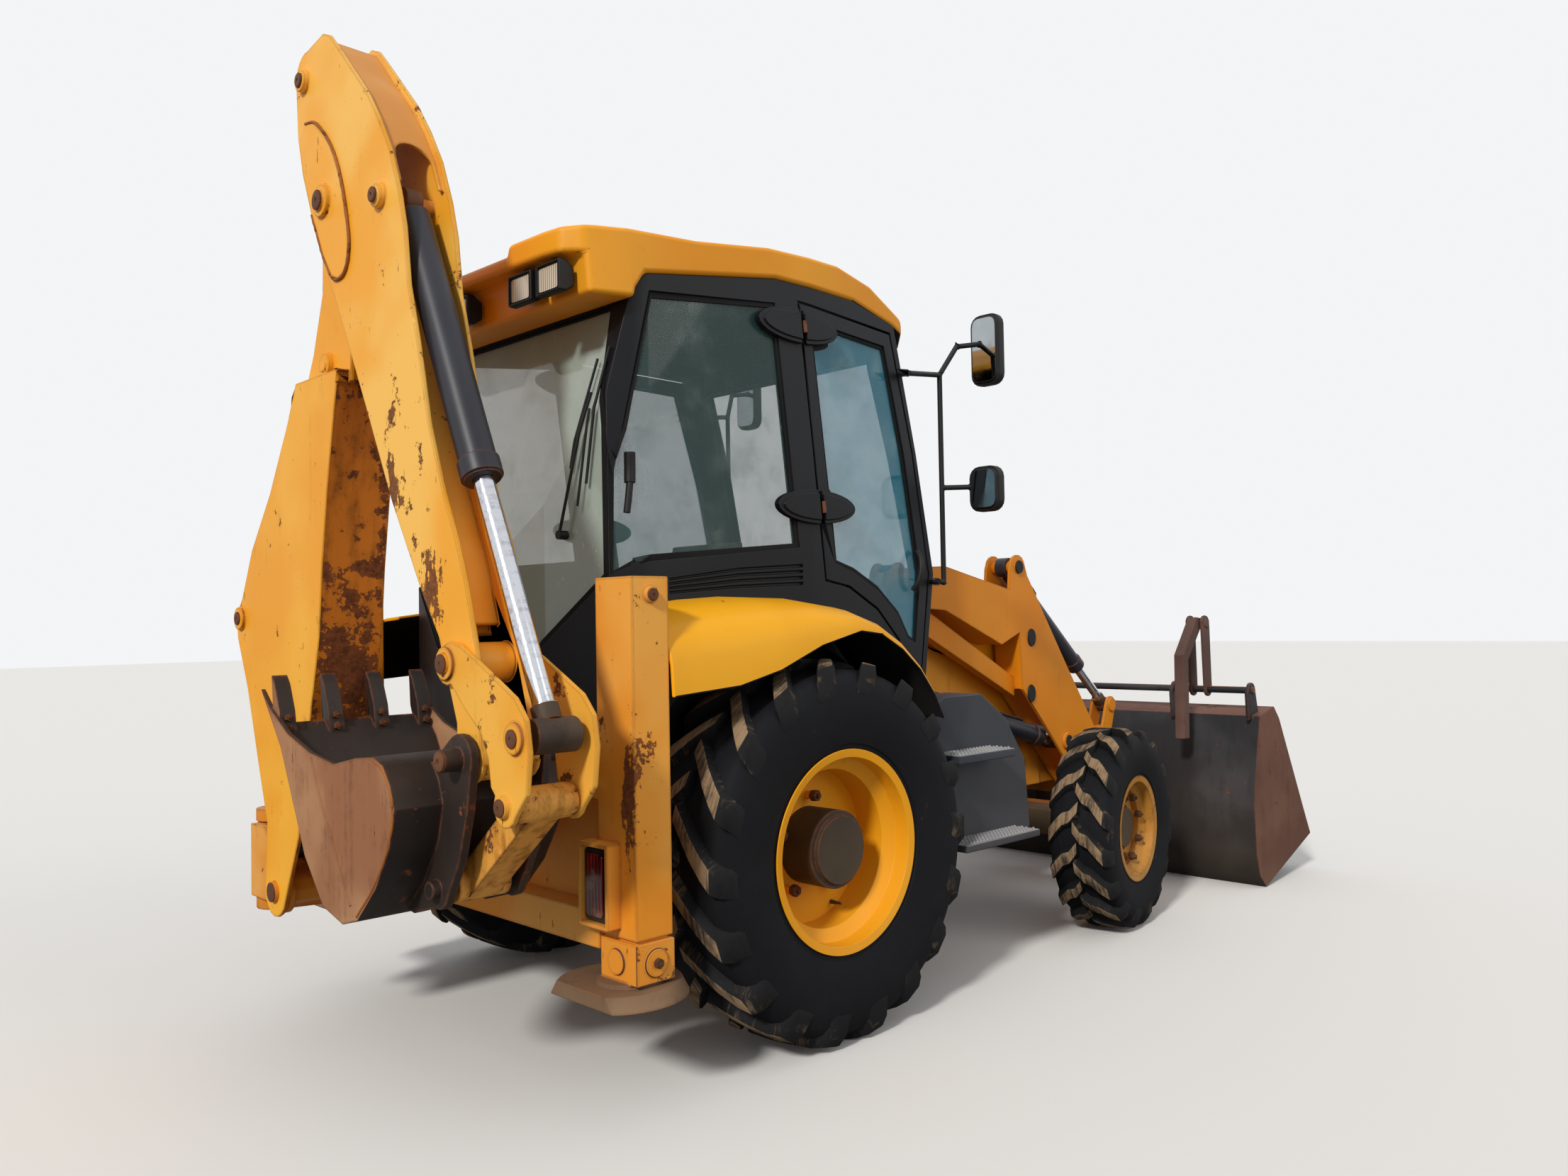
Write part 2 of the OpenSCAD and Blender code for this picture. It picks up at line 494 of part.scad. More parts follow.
// Rod drawn along -Y from its eye, whose pin stays with it
module ram_rod(r, len, eye_r, eye_w) {
    x_pin(0, 0, eye_r, -eye_w / 2, eye_w / 2);
    y_pin(0, 0, r, -len, -eye_r + 4);
    y_pin(0, 0, r + 9, -eye_r - 40, -eye_r + 12);
}
module boom_ram_barrel() color(black) along_yz(boom_ram_base, boom_bulge)
    barrel(50, span(boom_ram_base, boom_bulge) - 110, 45, 54, 24, 28);
module boom_ram_rod() color(steel) along_yz(boom_ram_base, boom_bulge)
    translate([0, span(boom_ram_base, boom_bulge), 0]) ram_rod(28, span(boom_ram_base, boom_bulge) - 150, 46, 100);
module dipper_ram_barrel() color(black) along_yz(dipper_ram_base, dipper_tail)
    barrel(42, 595, 48, 54, 26, 26);
module dipper_ram_rod() color(steel) along_yz(dipper_ram_base, dipper_tail)
    translate([0, span(dipper_ram_base, dipper_tail), 0]) ram_rod(26, 585, 46, 90);
rod_pin = [-1965, 1276];
module dig_ram_barrel() color(black) along_yz(dig_ram_base, rod_pin)
    barrel(60, 1090, 50, 60, 26, 33);
module dig_ram_rod() color(steel) along_yz(dig_ram_base, rod_pin)
    translate([0, span(dig_ram_base, rod_pin), 0]) ram_rod(33, 1000, 52, 150);

// Tipping lever: two boomerang plates outside the dipper, joined by a tube at the link pin
link_pin = [-1904, 1078];
lever_out = dipper_w / 2 + side_gap + plate_t;
module lever_outline() polygon(concat([[-1536, 1523]], arc(lever_pivot, 66, 0, -110, 5),
    [[-1690, 1345], [-1775, 1285], [-1818, 1210], [-1830, 1130]], arc(link_pin, 60, 30, -160, 8),
    [[-2018, 1120], [-2034, 1240], [-2018, 1330], [-1962, 1390], [-1880, 1432], [-1760, 1492], [-1660, 1538],
        [-1600, 1548]]));
module dig_lever() color(yellow) {
    difference() {
        union() {
            for (x = [king_x - lever_out, king_x + lever_out - plate_t]) yz_plate(x, x + plate_t) lever_outline();
            for (x = [king_x - lever_out - 12, king_x + lever_out - 1]) {
                x_pin(rod_pin[0], rod_pin[1], 46, x, x + 13);
                x_pin(lever_pivot[0], lever_pivot[1], 50, x, x + 13);
            }
            x_pin(link_pin[0], link_pin[1], 30, king_x - lever_out - 16, king_x + lever_out + 16);
        }
        x_pin(lever_pivot[0], lever_pivot[1], 30 + fit, king_x - 200, king_x + 200);
    }
}
// Link: tube on the lever's pin and a tapered arm down to the bucket
bucket_link_pin = [-1550, 800];
module dig_link() color(yellow) {
    difference() {
        union() {
            x_pin(link_pin[0], link_pin[1], 52, king_x - lever_out + plate_t + side_gap,
                king_x + lever_out - plate_t - side_gap);
            yz_plate(king_x - 55, king_x + 55) polygon([[-1935, 1045], [-1865, 1112], [-1535, 846], [-1505, 800],
                [-1540, 752], [-1585, 765]]);
            x_pin(bucket_link_pin[0], bucket_link_pin[1], 50, king_x - 90, king_x + 90);
        }
        x_pin(link_pin[0], link_pin[1], 30 + fit, king_x - 200, king_x + 200);
    }
}

// Digging bucket, curled: side plates, wrapped back, cutting edge with four teeth, ears
dig_profile = [[-1340, 1195], [-1460, 1205], [-1520, 1183], [-1562, 1133], [-1588, 1060], [-1558, 950], [-1468, 815],
    [-1343, 700], [-1240, 672], [-1100, 705], [-960, 850], [-860, 1030], [-770, 1190], [-700, 1270]];
dig_edge = [[-600, 1385], [-680, 1320], [-830, 1240], [-1000, 1190], [-1180, 1165]];
function grow(p, c, d) = p + d * (c - p) / norm(c - p);
dig_mid = [-1200, 1000];
module dig_shell() polygon(concat(dig_profile,
    [for (i = [len(dig_profile) - 1:-1:0]) grow(dig_profile[i], dig_mid, 18)]));
tooth_n = 4;
ear_in = 110;
ear_t = 28;
module dig_bucket() color(rust) {
    x0 = king_x - dig_w / 2;
    x1 = king_x + dig_w / 2;
    difference() {
        union() {
            yz_plate(x0, x0 + 18) polygon(concat(dig_profile, dig_edge));
            yz_plate(x1 - 18, x1) polygon(concat(dig_profile, dig_edge));
            yz_plate(x0 + 1, x1 - 1) dig_shell();
            for (i = [0:tooth_n - 1]) {
                x = x0 + 12 + (dig_w - 24 - 56) * i / (tooth_n - 1);
                yz_plate(x, x + 56) polygon([[-748, 1222], [-732, 1312], [-692, 1402], [-664, 1434], [-670, 1380], [-676, 1300], [-694, 1258]]);
            }
            for (x = [king_x - ear_in - ear_t, king_x + ear_in]) yz_plate(x, x + ear_t)
                polygon(concat(arc(dipper_nose, 75, 60, 200, 6), [[-1728, 1050], [-1680, 900]],
                    arc(bucket_link_pin, 62, 195, 285, 4), [[-1400, 704], [-1334, 712], [-1460, 826], [-1548, 956],
                    [-1577, 1060], [-1552, 1128], [-1515, 1175]]));
            for (x = [king_x - ear_in - ear_t - 30, king_x + ear_in]) x_pin(bucket_link_pin[0], bucket_link_pin[1], 28,
                x, x + ear_t + 30);
            x_pin(dipper_nose[0], dipper_nose[1], 34, king_x - ear_in - ear_t - 60, king_x + ear_in + ear_t + 60);
        }
    }
}

// Loader arms and their linkage
arm_tip = [3310, 330];
crowd_base = [2073, 1859];
lift_eye = [2518, 889];
tip_pivot = [2900, 520];
tip_top = [3054, 1059];
tip_bucket = [3365, 660];
arm_plate = concat([[1165, 1690]], arc(arm_pivot, 105, 160, 80, 5), [[1440, 1851], [1990, 1738], [2000, 1850]],
    arc(crowd_base, 66, 170, 30, 6), [[2160, 1815], [2522, 1328], [2847, 908], [3130, 540]],
    arc(arm_tip, 78, 60, -100, 8), [[3120, 300], [2900, 400], [2575, 700], [2390, 900], [2094, 1200], [2077, 1505],
    [1911, 1444], [1434, 1628], [1250, 1640]]);
arm_brace = [[1290, 1695], [1340, 1640], [2100, 1262], [2094, 1160], [1320, 1515], [1270, 1600]];
arm_mid = (arm_in + arm_out) / 2;
module loader_arms() color(yellow) {
    both_sides() difference() {
        union() {
            xz_plate(arm_in, arm_in + arm_t) polygon(arm_plate);
            xz_plate(arm_out - arm_t, arm_out) polygon(arm_plate);
            xz_plate(arm_mid - 30, arm_mid + 30) polygon(arm_brace);
            xz_plate(arm_in + 1, arm_out - 1) polygon([[1440, 1851], [1990, 1738], [1985, 1720], [1440, 1832]]);
            xz_plate(arm_in + 1, arm_out - 1) polygon([[1434, 1628], [1911, 1444], [1916, 1462], [1440, 1647]]);
            xz_plate(arm_in + 1, arm_out - 1) polygon([[2094, 1200], [2110, 1205], [2092, 1505], [2077, 1505]]);
            y_pin(arm_pivot[0], arm_pivot[1], 75, arm_in, arm_out);
            y_pin(arm_tip[0], arm_tip[1], 70, arm_in, arm_out);
            y_pin(lift_eye[0], lift_eye[1], 48, arm_out - 1, arm_out + 14);
            y_pin(crowd_base[0], crowd_base[1], 34, arm_in - 8, arm_out + 12);
            y_pin(tip_pivot[0], tip_pivot[1], 34, arm_in - 4, arm_out + 8);
            y_pin(2183, 1477, 34, arm_out - 1, arm_out + 8);
            y_pin(2169, 1175, 34, arm_out - 1, arm_out + 8);
        }
        y_pin(arm_pivot[0], arm_pivot[1], 40 + fit, arm_in - 20, arm_out + 20);
        y_pin(arm_tip[0], arm_tip[1], 34 + fit, arm_in - 20, arm_out + 20);
    }
    y_pin(3010, 395, 60, -(arm_in + 1), arm_in + 1);
}
module along_xz(a, b) translate([a[0], 0, a[1]]) rotate([0, -heading(a, b), 0]) children();
// The same barrel and rod as behind, drawn along +X with the eye across Y
module barrel_x(r, len, eye_r, eye_w, bore_r, rod_r) rotate([0, 0, -90]) barrel(r, len, eye_r, eye_w, bore_r, rod_r);
module rod_x(r, len, eye_r, eye_w) rotate([0, 0, -90]) ram_rod(r, len, eye_r, eye_w);
module at_arm() both_sides() translate([0, arm_mid, 0]) children();
module lift_barrels() color(black) at_arm() along_xz(lift_base, lift_eye)
    barrel_x(52, 1210, 52, 60, 28, 28);
module lift_rods() color(steel) at_arm() along_xz(lift_base, lift_eye)
    translate([span(lift_base, lift_eye), 0, 0]) rod_x(28, 1180, 46, 110);
module crowd_barrels() color(black) at_arm() along_xz(crowd_base, tip_top)
    barrel_x(45, 900, 52, 66, 34, 25);
module crowd_rods() color(steel) at_arm() along_xz(crowd_base, tip_top)
    translate([span(crowd_base, tip_top), 0, 0]) rod_x(25, 1024, 42, 50);
lever_t = 18;
lever_half = 55;
module tip_levers() color(yellow) at_arm() difference() {
    union() {
        for (y = [-lever_half, lever_half - lever_t]) xz_plate(y, y + lever_t)
            polygon(concat(arc(tip_pivot, 55, 155, 335, 8), [[3000, 760]], arc(tip_top, 50, -20, 160, 8), [[2900, 800]]));
        y_pin(tip_top[0], tip_top[1], 40, -lever_half - 10, -lever_half + 1);
        y_pin(tip_top[0], tip_top[1], 40, lever_half - 1, lever_half + 10);
        y_pin(link_pivot[0], link_pivot[1], 20, -lever_half - 8, lever_half + 8);
    }
    y_pin(tip_pivot[0], tip_pivot[1], 34 + fit, -lever_half - 20, lever_half + 20);
}
link_pivot = [3012, 900];
module tip_links() color(yellow) at_arm() difference() {
    xz_plate(-30, 30) polygon(concat(arc(link_pivot, 40, 40, 230, 6), arc(tip_bucket, 42, 230, 400, 6)));
    y_pin(link_pivot[0], link_pivot[1], 20 + fit, -31, 31);
}

// Loader bucket: wrapped sheet, side plates, cutting edge, ears, lugs for the forks
bucket_back = [[3690, 1035], [3496, 990], [3450, 805], [3392, 500], [3405, 215], [3440, 80], [3520, 3], [4170, 226]];
bucket_in = [[4150, 244], [3530, 30], [3462, 100], [3430, 220], [3416, 498], [3474, 800], [3516, 972], [3694, 1012]];
bucket_side = [[3690, 1035], [3496, 990], [3450, 805], [3392, 500], [3405, 215], [3440, 80], [3520, 3], [4170, 226],
    [4110, 330], [3760, 960]];
fork_rod = [3500, 1138];
module loader_bucket() color([0.2, 0.2, 0.21]) {
    half = bucket_w / 2;
    xz_plate(-half + 1, half - 1) polygon(concat(bucket_back, bucket_in));
    both_sides() {
        xz_plate(half - 20, half) polygon(bucket_side);
        for (y = [arm_in - side_gap - 20, arm_out + side_gap]) xz_plate(y, y + 20)
            polygon(concat(arc(arm_tip, 72, 130, 290, 8), [[3415, 240], [3420, 500], [3465, 800], [3400, 760],
                [3340, 640]]));
        y_pin(arm_tip[0], arm_tip[1], 34, arm_in - side_gap - 30, arm_out + side_gap + 30);
        for (y = [arm_mid - 36 - 16, arm_mid + 36]) xz_plate(y, y + 16)
            polygon(concat(arc(tip_bucket, 40, 80, 280, 6), [[3426, 560], [3446, 770]]));
        for (y = [640, 1110]) xz_plate(y, y + 20)
            polygon(concat([[3560, 995], [3450, 965]], [[3440, 1120]], arc(fork_rod, 45, 160, 0, 6), [[3580, 1000]]));
    }
    y_pin(fork_rod[0], fork_rod[1], 20, -1142, 1142);
}
// Folded forks on their rod: upright, knee, angled shank and hanging blade
fork_y = 760;
module forks() color(rust) both_sides() difference() {
    union() {
        for (y = [fork_y, fork_y + 90]) xz_plate(y, y + 18) polygon(concat(arc(fork_rod, 42, 180, 360, 6),
            [[3530, 1500]], arc([3480, 1530], 50, 20, 160, 6), [[3440, 1480]]));
        y_pin(3480, 1530, 24, fork_y - 8, fork_y + 116);
        xz_plate(fork_y + 24, fork_y + 84) polygon([[3500, 1560], [3460, 1500], [3300, 1320], [3290, 860], [3225, 860],
            [3235, 1350], [3420, 1570]]);
    }
    y_pin(fork_rod[0], fork_rod[1], 20 + fit, fork_y - 20, fork_y + 130);
}

// Hood: bent sheet with a front grille, hinged behind
hood_outer = [[1350, 1520], [1350, 1795], [1500, 1795], [2350, 1700], [2640, 1610], [2755, 1480], [2790, 1100],
    [2790, 1010], [2520, 1010], [2490, 1110], [2100, 1310], [1560, 1440]];
hood_inner = [[1300, 1300], [1300, 1783], [1499, 1783], [2346, 1688], [2633, 1600], [2744, 1474], [2778, 1099],
    [2778, 900], [2000, 900]];
module hood() color(yellow) difference() {
    union() {
        xz_plate(-hood_half, hood_half) polygon(hood_outer);
        both_sides() xz_plate(141, 160) polygon(concat(arc(hood_pivot, 14, 0, 270), [[1352, 1790], [1400, 1790]]));
    }
    xz_plate(-hood_half + hood_t, hood_half - hood_t) polygon(hood_inner);
    for (z = [1080:70:1430]) block(2700, 2800, -220, 220, z, z + 40);
    y_pin(hood_pivot[0], hood_pivot[1], hinge_r + fit, -200, 200);
}

// Cab: side outline and plan outline cross to give the body, walls are what an inner body leaves
cab_outline = [[-890, 1180], [-905, 1780], [-850, 2100], [-700, 2800], [-660, cab_top_z], [0, 2965], [500, 2968],
    [800, 2912], [960, 2350], [1085, 1800], [1000, 1290], [930, cab_floor_z], [-500, cab_floor_z], [-560, 1180]];
arch_r = rear_r + 75;
arch_y = 700;
module cab_body(d) difference() {
    intersection() {
        xz_plate(-1000, 1000) offset(delta = -d) polygon(cab_outline);
        translate([0, 0, 900]) linear_extrude(2300) offset(delta = -d) polygon(cab_plan);
    }
    both_sides() y_pin(0, rear_z, arch_r + d, arch_y - d, 1001);
}
cab_nose_half = 700;
cab_plan = concat([[1100, -cab_nose_half], [200, -cab_half], [-640, -cab_half], [-780, -700]],
    [[-860, -400], [-905, 0], [-860, 400]], [[-780, 700], [-640, cab_half], [200, cab_half], [1100, cab_nose_half]]);
door_outline = [[140, 2890], [765, 2868], [925, 2350], [1040, 1800], [960, 1300], [890, 1300], [800, 1500],
    [640, 1640], [440, 1735], [282, 1760]];
door_glass = [[204, 2828], [722, 2808], [865, 2330], [975, 1800], [930, 1480], [870, 1500], [790, 1610], [640, 1720],
    [470, 1795], [345, 1830]];
side_glass = [[-640, 2800], [0, 2866], [118, 1890], [-815, 1800], [-730, 2300]];
rear_glass = [[-650, 2760], [650, 2760], [740, 1800], [330, 1460], [-330, 1460], [-740, 1800]];
front_glass = [[-560, 2790], [560, 2790], [600, 1500], [-600, 1500]];
door_gap = 9;
door_t = 30;
door_in = cab_nose_half - wall - 10;
module side_cut(y0, y1) xz_plate(y0, y1) children();
module cab_shell() color(black) {
    difference() {
        cab_body(0);
        cab_body(wall);
        for (s = [-1, 1]) {
            y0 = s > 0 ? 500 : -1000;
            scale_side(-s) side_cut(-1000, -door_in) offset(delta = door_gap) polygon(door_outline);
            side_cut(y0, y0 + 500) polygon(side_glass);
        }
        yz_plate(-1000, -560) polygon(rear_glass);
        yz_plate(700, 1200) polygon(front_glass);
        block(-700, 800, -600, 600, 2700, 3100);
        both_sides() for (i = [0:louvre_n - 1]) side_cut(cab_half - louvre_d, cab_half + 1) louvre(i);
    }
    both_sides() for (c = hinge_covers) cover(c, cab_half - 10) polygon([[-400, 1500], [hinge_x(1500) - 20, 1500],
        [hinge_x(3000) - 20, 3000], [-400, 3000]]);
}
// Slots of the louvre between the side window and the fender
louvre_n = 4;
louvre_d = 12;
module louvre(i) polygon([[-565, 1698 + 16 * i], [-220, 1722 + 22 * i], [135, 1736 + 24 * i], [135, 1748 + 24 * i],
    [-220, 1732 + 22 * i], [-565, 1706 + 16 * i]]);
// Oval covers over the door's hinges, half on the pillar and half on the door
hinge_covers = [[122, 2792], [214, 2058]];
cover_half = [228, 70];
function hinge_x(z) = 282 + (door_outline[0][0] - 282) * (z - 1760) / (door_outline[0][1] - 1760) - 3;
function oval(c, a, n) = [for (i = [0:n - 1]) c + [a[0] * cos(360 * i / n), a[1] * sin(360 * i / n)]];
module cover(c, y0) for (step = [0, 1]) xz_plate(y0, cab_half + 18 + 8 * step) intersection() {
    polygon(oval(c, cover_half - step * [26, 16], 28));
    children();
}
module cab_glass() color([0.4, 0.55, 0.5, 0.5]) {
    glass_t = 6;
    intersection() {
        difference() {
            cab_body(12);
            cab_body(12 + glass_t);
        }
        union() {
            for (y0 = [500, -1000]) side_cut(y0, y0 + 500) offset(delta = -fit) polygon(side_glass);
            yz_plate(-1000, -560) offset(delta = -fit) polygon(rear_glass);
            yz_plate(700, 1200) offset(delta = -fit) polygon(front_glass);
        }
    }
}
module door(s) color(black) scale_side(s) {
    intersection() {
        difference() {
            cab_body(0);
            translate([0, 0, 900]) linear_extrude(2300) offset(delta = -door_t) polygon(cab_plan);
            side_cut(-1000, -500) polygon(door_glass);
        }
        side_cut(-1000, -500) polygon(door_outline);
    }
    intersection() {
        difference() {
            cab_body(14);
            cab_body(20);
        }
        side_cut(-1000, -500) offset(delta = 1) polygon(door_glass);
    }
    mirror([0, 1, 0]) for (c = hinge_covers) cover(c, cab_half - 24) polygon([[hinge_x(1500) + 4, 1500], [900, 1500],
        [900, 3000], [hinge_x(3000) + 4, 3000]]);
}
// Roof: a thick shell over the cab with a hollowed visor behind, over a set-back strip for the lamps
roof_half = 790;
visor_z = 2895;
strip_x = -895;
roof_side = [[-1000, visor_z], [-1000, 2985], [-850, 3002], [-412, 3032], [-31, 3085], [397, 3100], [630, 3062], [851, 2968],
    [985, 2880], [975, 2845], [800, 2912 + fit], [500, 2968 + fit], [0, 2965 + fit], [-660, cab_top_z + fit],
    [-701, 2800], [-709, 2762], [strip_x + 10, 2755], [strip_x, visor_z]];
roof_plan = [[990, -590], [870, -715], [200, -roof_half], [-730, -roof_half], [-900, -752], [-965, -690], [-980, -600],
    [-1000, 0]];
module cab_roof() color(yellow) difference() {
    intersection() {
        xz_plate(-roof_half, roof_half) polygon(roof_side);
        translate([0, 0, 2700]) linear_extrude(500) polygon(concat(roof_plan,
            [for (i = [len(roof_plan) - 2:-1:0]) [roof_plan[i][0], -roof_plan[i][1]]]));
    }
    intersection() {
        xz_plate(-450, 450) polygon([[-1001, 2942], [-640, 3030], [-1001, 3100]]);
        yz_plate(-1001, -600) polygon([[-376, 2940], [376, 2940], [430, 3100], [-430, 3100]]);
    }
}

// Fender: a lofted sheet over the wheel with a rounded shoulder, thick enough to stand alone
// Columns: distance forward, height of the top, height of the outer lip
fender_rows = [[-836, 1640, 1345], [-735, 1652, 1352], [-540, 1676, 1366], [-340, 1688, 1412], [-110, 1682, 1500],
    [90, 1650, 1545], [220, 1600, 1530], [340, 1530, 1470], [450, 1430, 1385], [540, 1310, 1280], [600, 1200, 1175]];
fender_in = cab_half + fit;
fender_out = leg_y1 + 20;
fender_t = 16;
fender_n = 6;
module fender() {
    function shoulder(row, i, d) = let (a = 90 * i / fender_n, s = pow(sin(a), 0.75), c = pow(cos(a), 0.7))
        [row[0], -(fender_in + (fender_out - d - fender_in) * s), row[2] + (row[1] - d - row[2]) * c];
    m = fender_n + 1;
    loop = 2 * m;
    n = len(fender_rows);
    points = [for (row = fender_rows) each concat([for (i = [0:fender_n]) shoulder(row, i, 0)],
        [for (i = [fender_n:-1:0]) shoulder(row, i, fender_t)])];
    skin = [for (j = [0:n - 2]) for (i = [0:loop - 1])
        let (a = j * loop + i, b = j * loop + (i + 1) % loop, c = (j + 1) * loop + (i + 1) % loop, d = (j + 1) * loop + i)
        each [[a, c, b], [a, d, c]]];
    ends = [for (i = [0:m - 2]) each [[i, i + 1, loop - 2 - i], [i, loop - 2 - i, loop - 1 - i]]];
    far = [for (f = ends) [for (v = [2:-1:0]) f[v] + (n - 1) * loop]];
    polyhedron(points, concat(skin, ends, far), convexity = 6);
}
module fenders() color(yellow) both_sides() fender();

// Seat with the controls, steps, lamps and mirrors
module cab_interior() color([0.25, 0.25, 0.25]) {
    z = cab_floor_z + wall + fit;
    block(-120, 330, -250, 250, z + 240, z + 360);
    block(250, 335, -240, 240, z + 361 - 2, 1950);
    block(-40, 260, -180, 180, z, z + 241);
    block(261 - 5, 740, -60, 60, z, z + 20);
    block(740 - 1, 850, -300, 300, z, 1600);
    translate([745, 0, 1410]) rotate([0, -30, 0]) cylinder(r = 28, h = 295);
    translate([602, 0, 1657]) rotate([0, -30, 0]) difference() {
        cylinder(r = 190, h = 26);
        translate([0, 0, -1]) cylinder(r = 164, h = 28);
    }
    translate([602, 0, 1657]) rotate([0, -30, 0]) block(-20, 20, -180, 180, 4, 22);
}
module steps() color([0.3, 0.31, 0.32]) both_sides() {
    xz_plate(560, 985) polygon([[750, 600], [750, 850], [730, cab_floor_z - 1], [1300, cab_floor_z - 1], [1380, 930],
        [1410, 620], [1400, 600]]);
    xz_plate(cab_half + 6, 985) polygon([[730, cab_floor_z - 2], [680, 1200], [780, 1250], [1050, 1250], [1235, 1130],
        [1300, cab_floor_z - 2]]);
    block(705, 1110, 984, 1120, 975, 1012);
    block(745, 1290, 984, 1120, 600, 632);
    block(900, 960, rail_out, 561, rail_z0 + 20, rail_z1 - 20);
}
module lamps() color(black) {
    for (y = [-622, -440, 0, 440, 622]) {
        difference() {
            xz_plate(y - 75, y + 75) polygon([[-972, 2762], [-972, 2876], [-940, 2876], [strip_x - 10, 2850],
                [strip_x - 10, 2785], [-940, 2762]]);
            block(-973, -964, y - 64, y + 64, 2773, 2865);
        }
        block(-945, -915, y - 18, y + 18, 2840, visor_z - fit);
    }
}
// A round bar between two points
module bar(a, b, r) translate(a) rotate([0, acos((b - a)[2] / norm(b - a)), atan2((b - a)[1], (b - a)[0])])
    cylinder(r = r, h = norm(b - a));
// Where the grab bar meets the front pillar: distance forward and height
mirror_feet = [[1062, 1760], [846, 2700]];
side_n = [cab_half - cab_nose_half, 900] / norm([cab_half - cab_nose_half, 900]);
function beside_cab(x, d, z) = [x + side_n[0] * d, cab_half - (cab_half - cab_nose_half) * (x - 200) / 900 + side_n[1] * d, z];
// A mirror's face: a rectangle with well-rounded corners, c its middle and a its half sizes
function mirror_face(c, a) = let (r = a[0] * 0.62) [for (q = [0:3]) for (i = [0:4])
    let (b = 90 * q + 22.5 * i, sy = q == 0 || q == 3 ? 1 : -1, sz = q < 2 ? 1 : -1)
    c + [sy * (a[0] - r) + r * cos(b), sz * (a[1] - r) + r * sin(b)]];
module mirrors() color(black) both_sides() {
    for (step = [0, 1]) {
        yz_plate(1345 - 12 * step, 1385) offset(delta = -14 * step) polygon(mirror_face([836, 2868], [84, 170]));
        yz_plate(1190 - 10 * step, 1232) offset(delta = -14 * step) polygon(mirror_face([925, 2185], [85, 105]));
    }
    for (p = mirror_feet) bar(beside_cab(p[0], fit, p[1]), beside_cab(p[0], 48, p[1]), 12);
    bar(beside_cab(1062, 46, 1760), [1110, 742, 1760], 12);
    bar([1110, 742, 1750], [1110, 742, 2740], 12);
    bar([1110, 742, 2730], beside_cab(846, 46, 2700), 12);
    bar([1110, 742, 2730], [1190, 790, 2875], 12);
    bar([1190, 790, 2868], [1350, 815, 2900], 12);
    bar([1110, 742, 2200], [1210, 860, 2200], 12);
}

// Where the machine's own origin lies, counted from the rear axle: the middle of its outline
tail_end = king_x - dig_w / 2;
front_end = 4170;
origin_x = (front_end + tail_end) / 2;
reach_right = leg_y0 + 424;
reach_left = (leg_y0 + leg_y1) / 2 - pad_in + pad_r;
origin_y = (reach_left - reach_right) / 2;
module at_king() translate([0, king_y, 0]) children();
module placed() translate([-origin_x, -origin_y, 0]) children();

placed() chassis();
placed() engine();
placed() tail_frame();
placed() axles();
placed() fenders();
placed() cab_shell();
placed() cab_roof();
placed() cab_glass();
placed() cab_interior();
placed() steps();
placed() lamps();
placed() mirrors();
placed() at_rear(1) tyre_rear();  // tyre_rear_left
placed() at_rear(1) rim_rear();  // rim_rear_left
placed() at_rear(-1) tyre_rear();  // tyre_rear_right
placed() at_rear(-1) rim_rear();  // rim_rear_right
placed() knuckle(1);  // knuckle_left
placed() knuckle(-1);  // knuckle_right
placed() at_front(1) tyre_front();  // tyre_front_left
placed() at_front(1) rim_front();  // rim_front_left
placed() at_front(-1) tyre_front();  // tyre_front_right
placed() at_front(-1) rim_front();  // rim_front_right
placed() hood();
placed() door(1);  // door_left
placed() door(-1);  // door_right
placed() loader_arms();
placed() lift_barrels();
placed() lift_rods();
placed() crowd_barrels();
placed() crowd_rods();
placed() tip_levers();
placed() tip_links();
placed() loader_bucket();
placed() forks();
placed() stabiliser(1);  // stabiliser_left
placed() stabiliser(-1);  // stabiliser_right
placed() at_king() carriage();
placed() at_king() kingpost();
placed() at_king() boom();
placed() at_king() boom_ram_barrel();
placed() at_king() boom_ram_rod();
placed() at_king() dipper();
placed() at_king() dipper_ram_barrel();
placed() at_king() dipper_ram_rod();
placed() at_king() dig_ram_barrel();
placed() at_king() dig_ram_rod();
placed() at_king() dig_lever();
placed() at_king() dig_link();
placed() at_king() dig_bucket();
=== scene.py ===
import json
import math

import bpy
from mathutils import Matrix, Vector


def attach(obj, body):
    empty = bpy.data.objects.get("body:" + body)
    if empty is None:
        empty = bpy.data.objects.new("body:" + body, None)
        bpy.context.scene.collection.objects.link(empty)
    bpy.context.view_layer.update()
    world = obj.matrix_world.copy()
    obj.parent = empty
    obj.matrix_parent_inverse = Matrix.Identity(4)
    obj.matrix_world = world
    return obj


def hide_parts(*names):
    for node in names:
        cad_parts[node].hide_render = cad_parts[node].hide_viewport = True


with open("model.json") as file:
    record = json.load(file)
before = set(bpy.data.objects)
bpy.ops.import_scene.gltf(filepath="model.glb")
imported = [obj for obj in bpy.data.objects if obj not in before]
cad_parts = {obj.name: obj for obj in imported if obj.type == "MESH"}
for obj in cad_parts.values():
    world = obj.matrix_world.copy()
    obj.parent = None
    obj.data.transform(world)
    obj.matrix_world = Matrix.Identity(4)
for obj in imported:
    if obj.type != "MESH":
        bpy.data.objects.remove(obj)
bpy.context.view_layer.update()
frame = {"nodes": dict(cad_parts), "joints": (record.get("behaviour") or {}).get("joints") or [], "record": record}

# The view
# The machine is seen from its right rear corner, at a standing person's eye height and a few
# steps away, with a phone's wide lens held slightly out of level.
pin_place = {j["name"]: Vector(j["pos_m"]) for j in frame["joints"] if "pos_m" in j}
rear_axle = (pin_place["rear_left_roll"] + pin_place["rear_right_roll"]) / 2


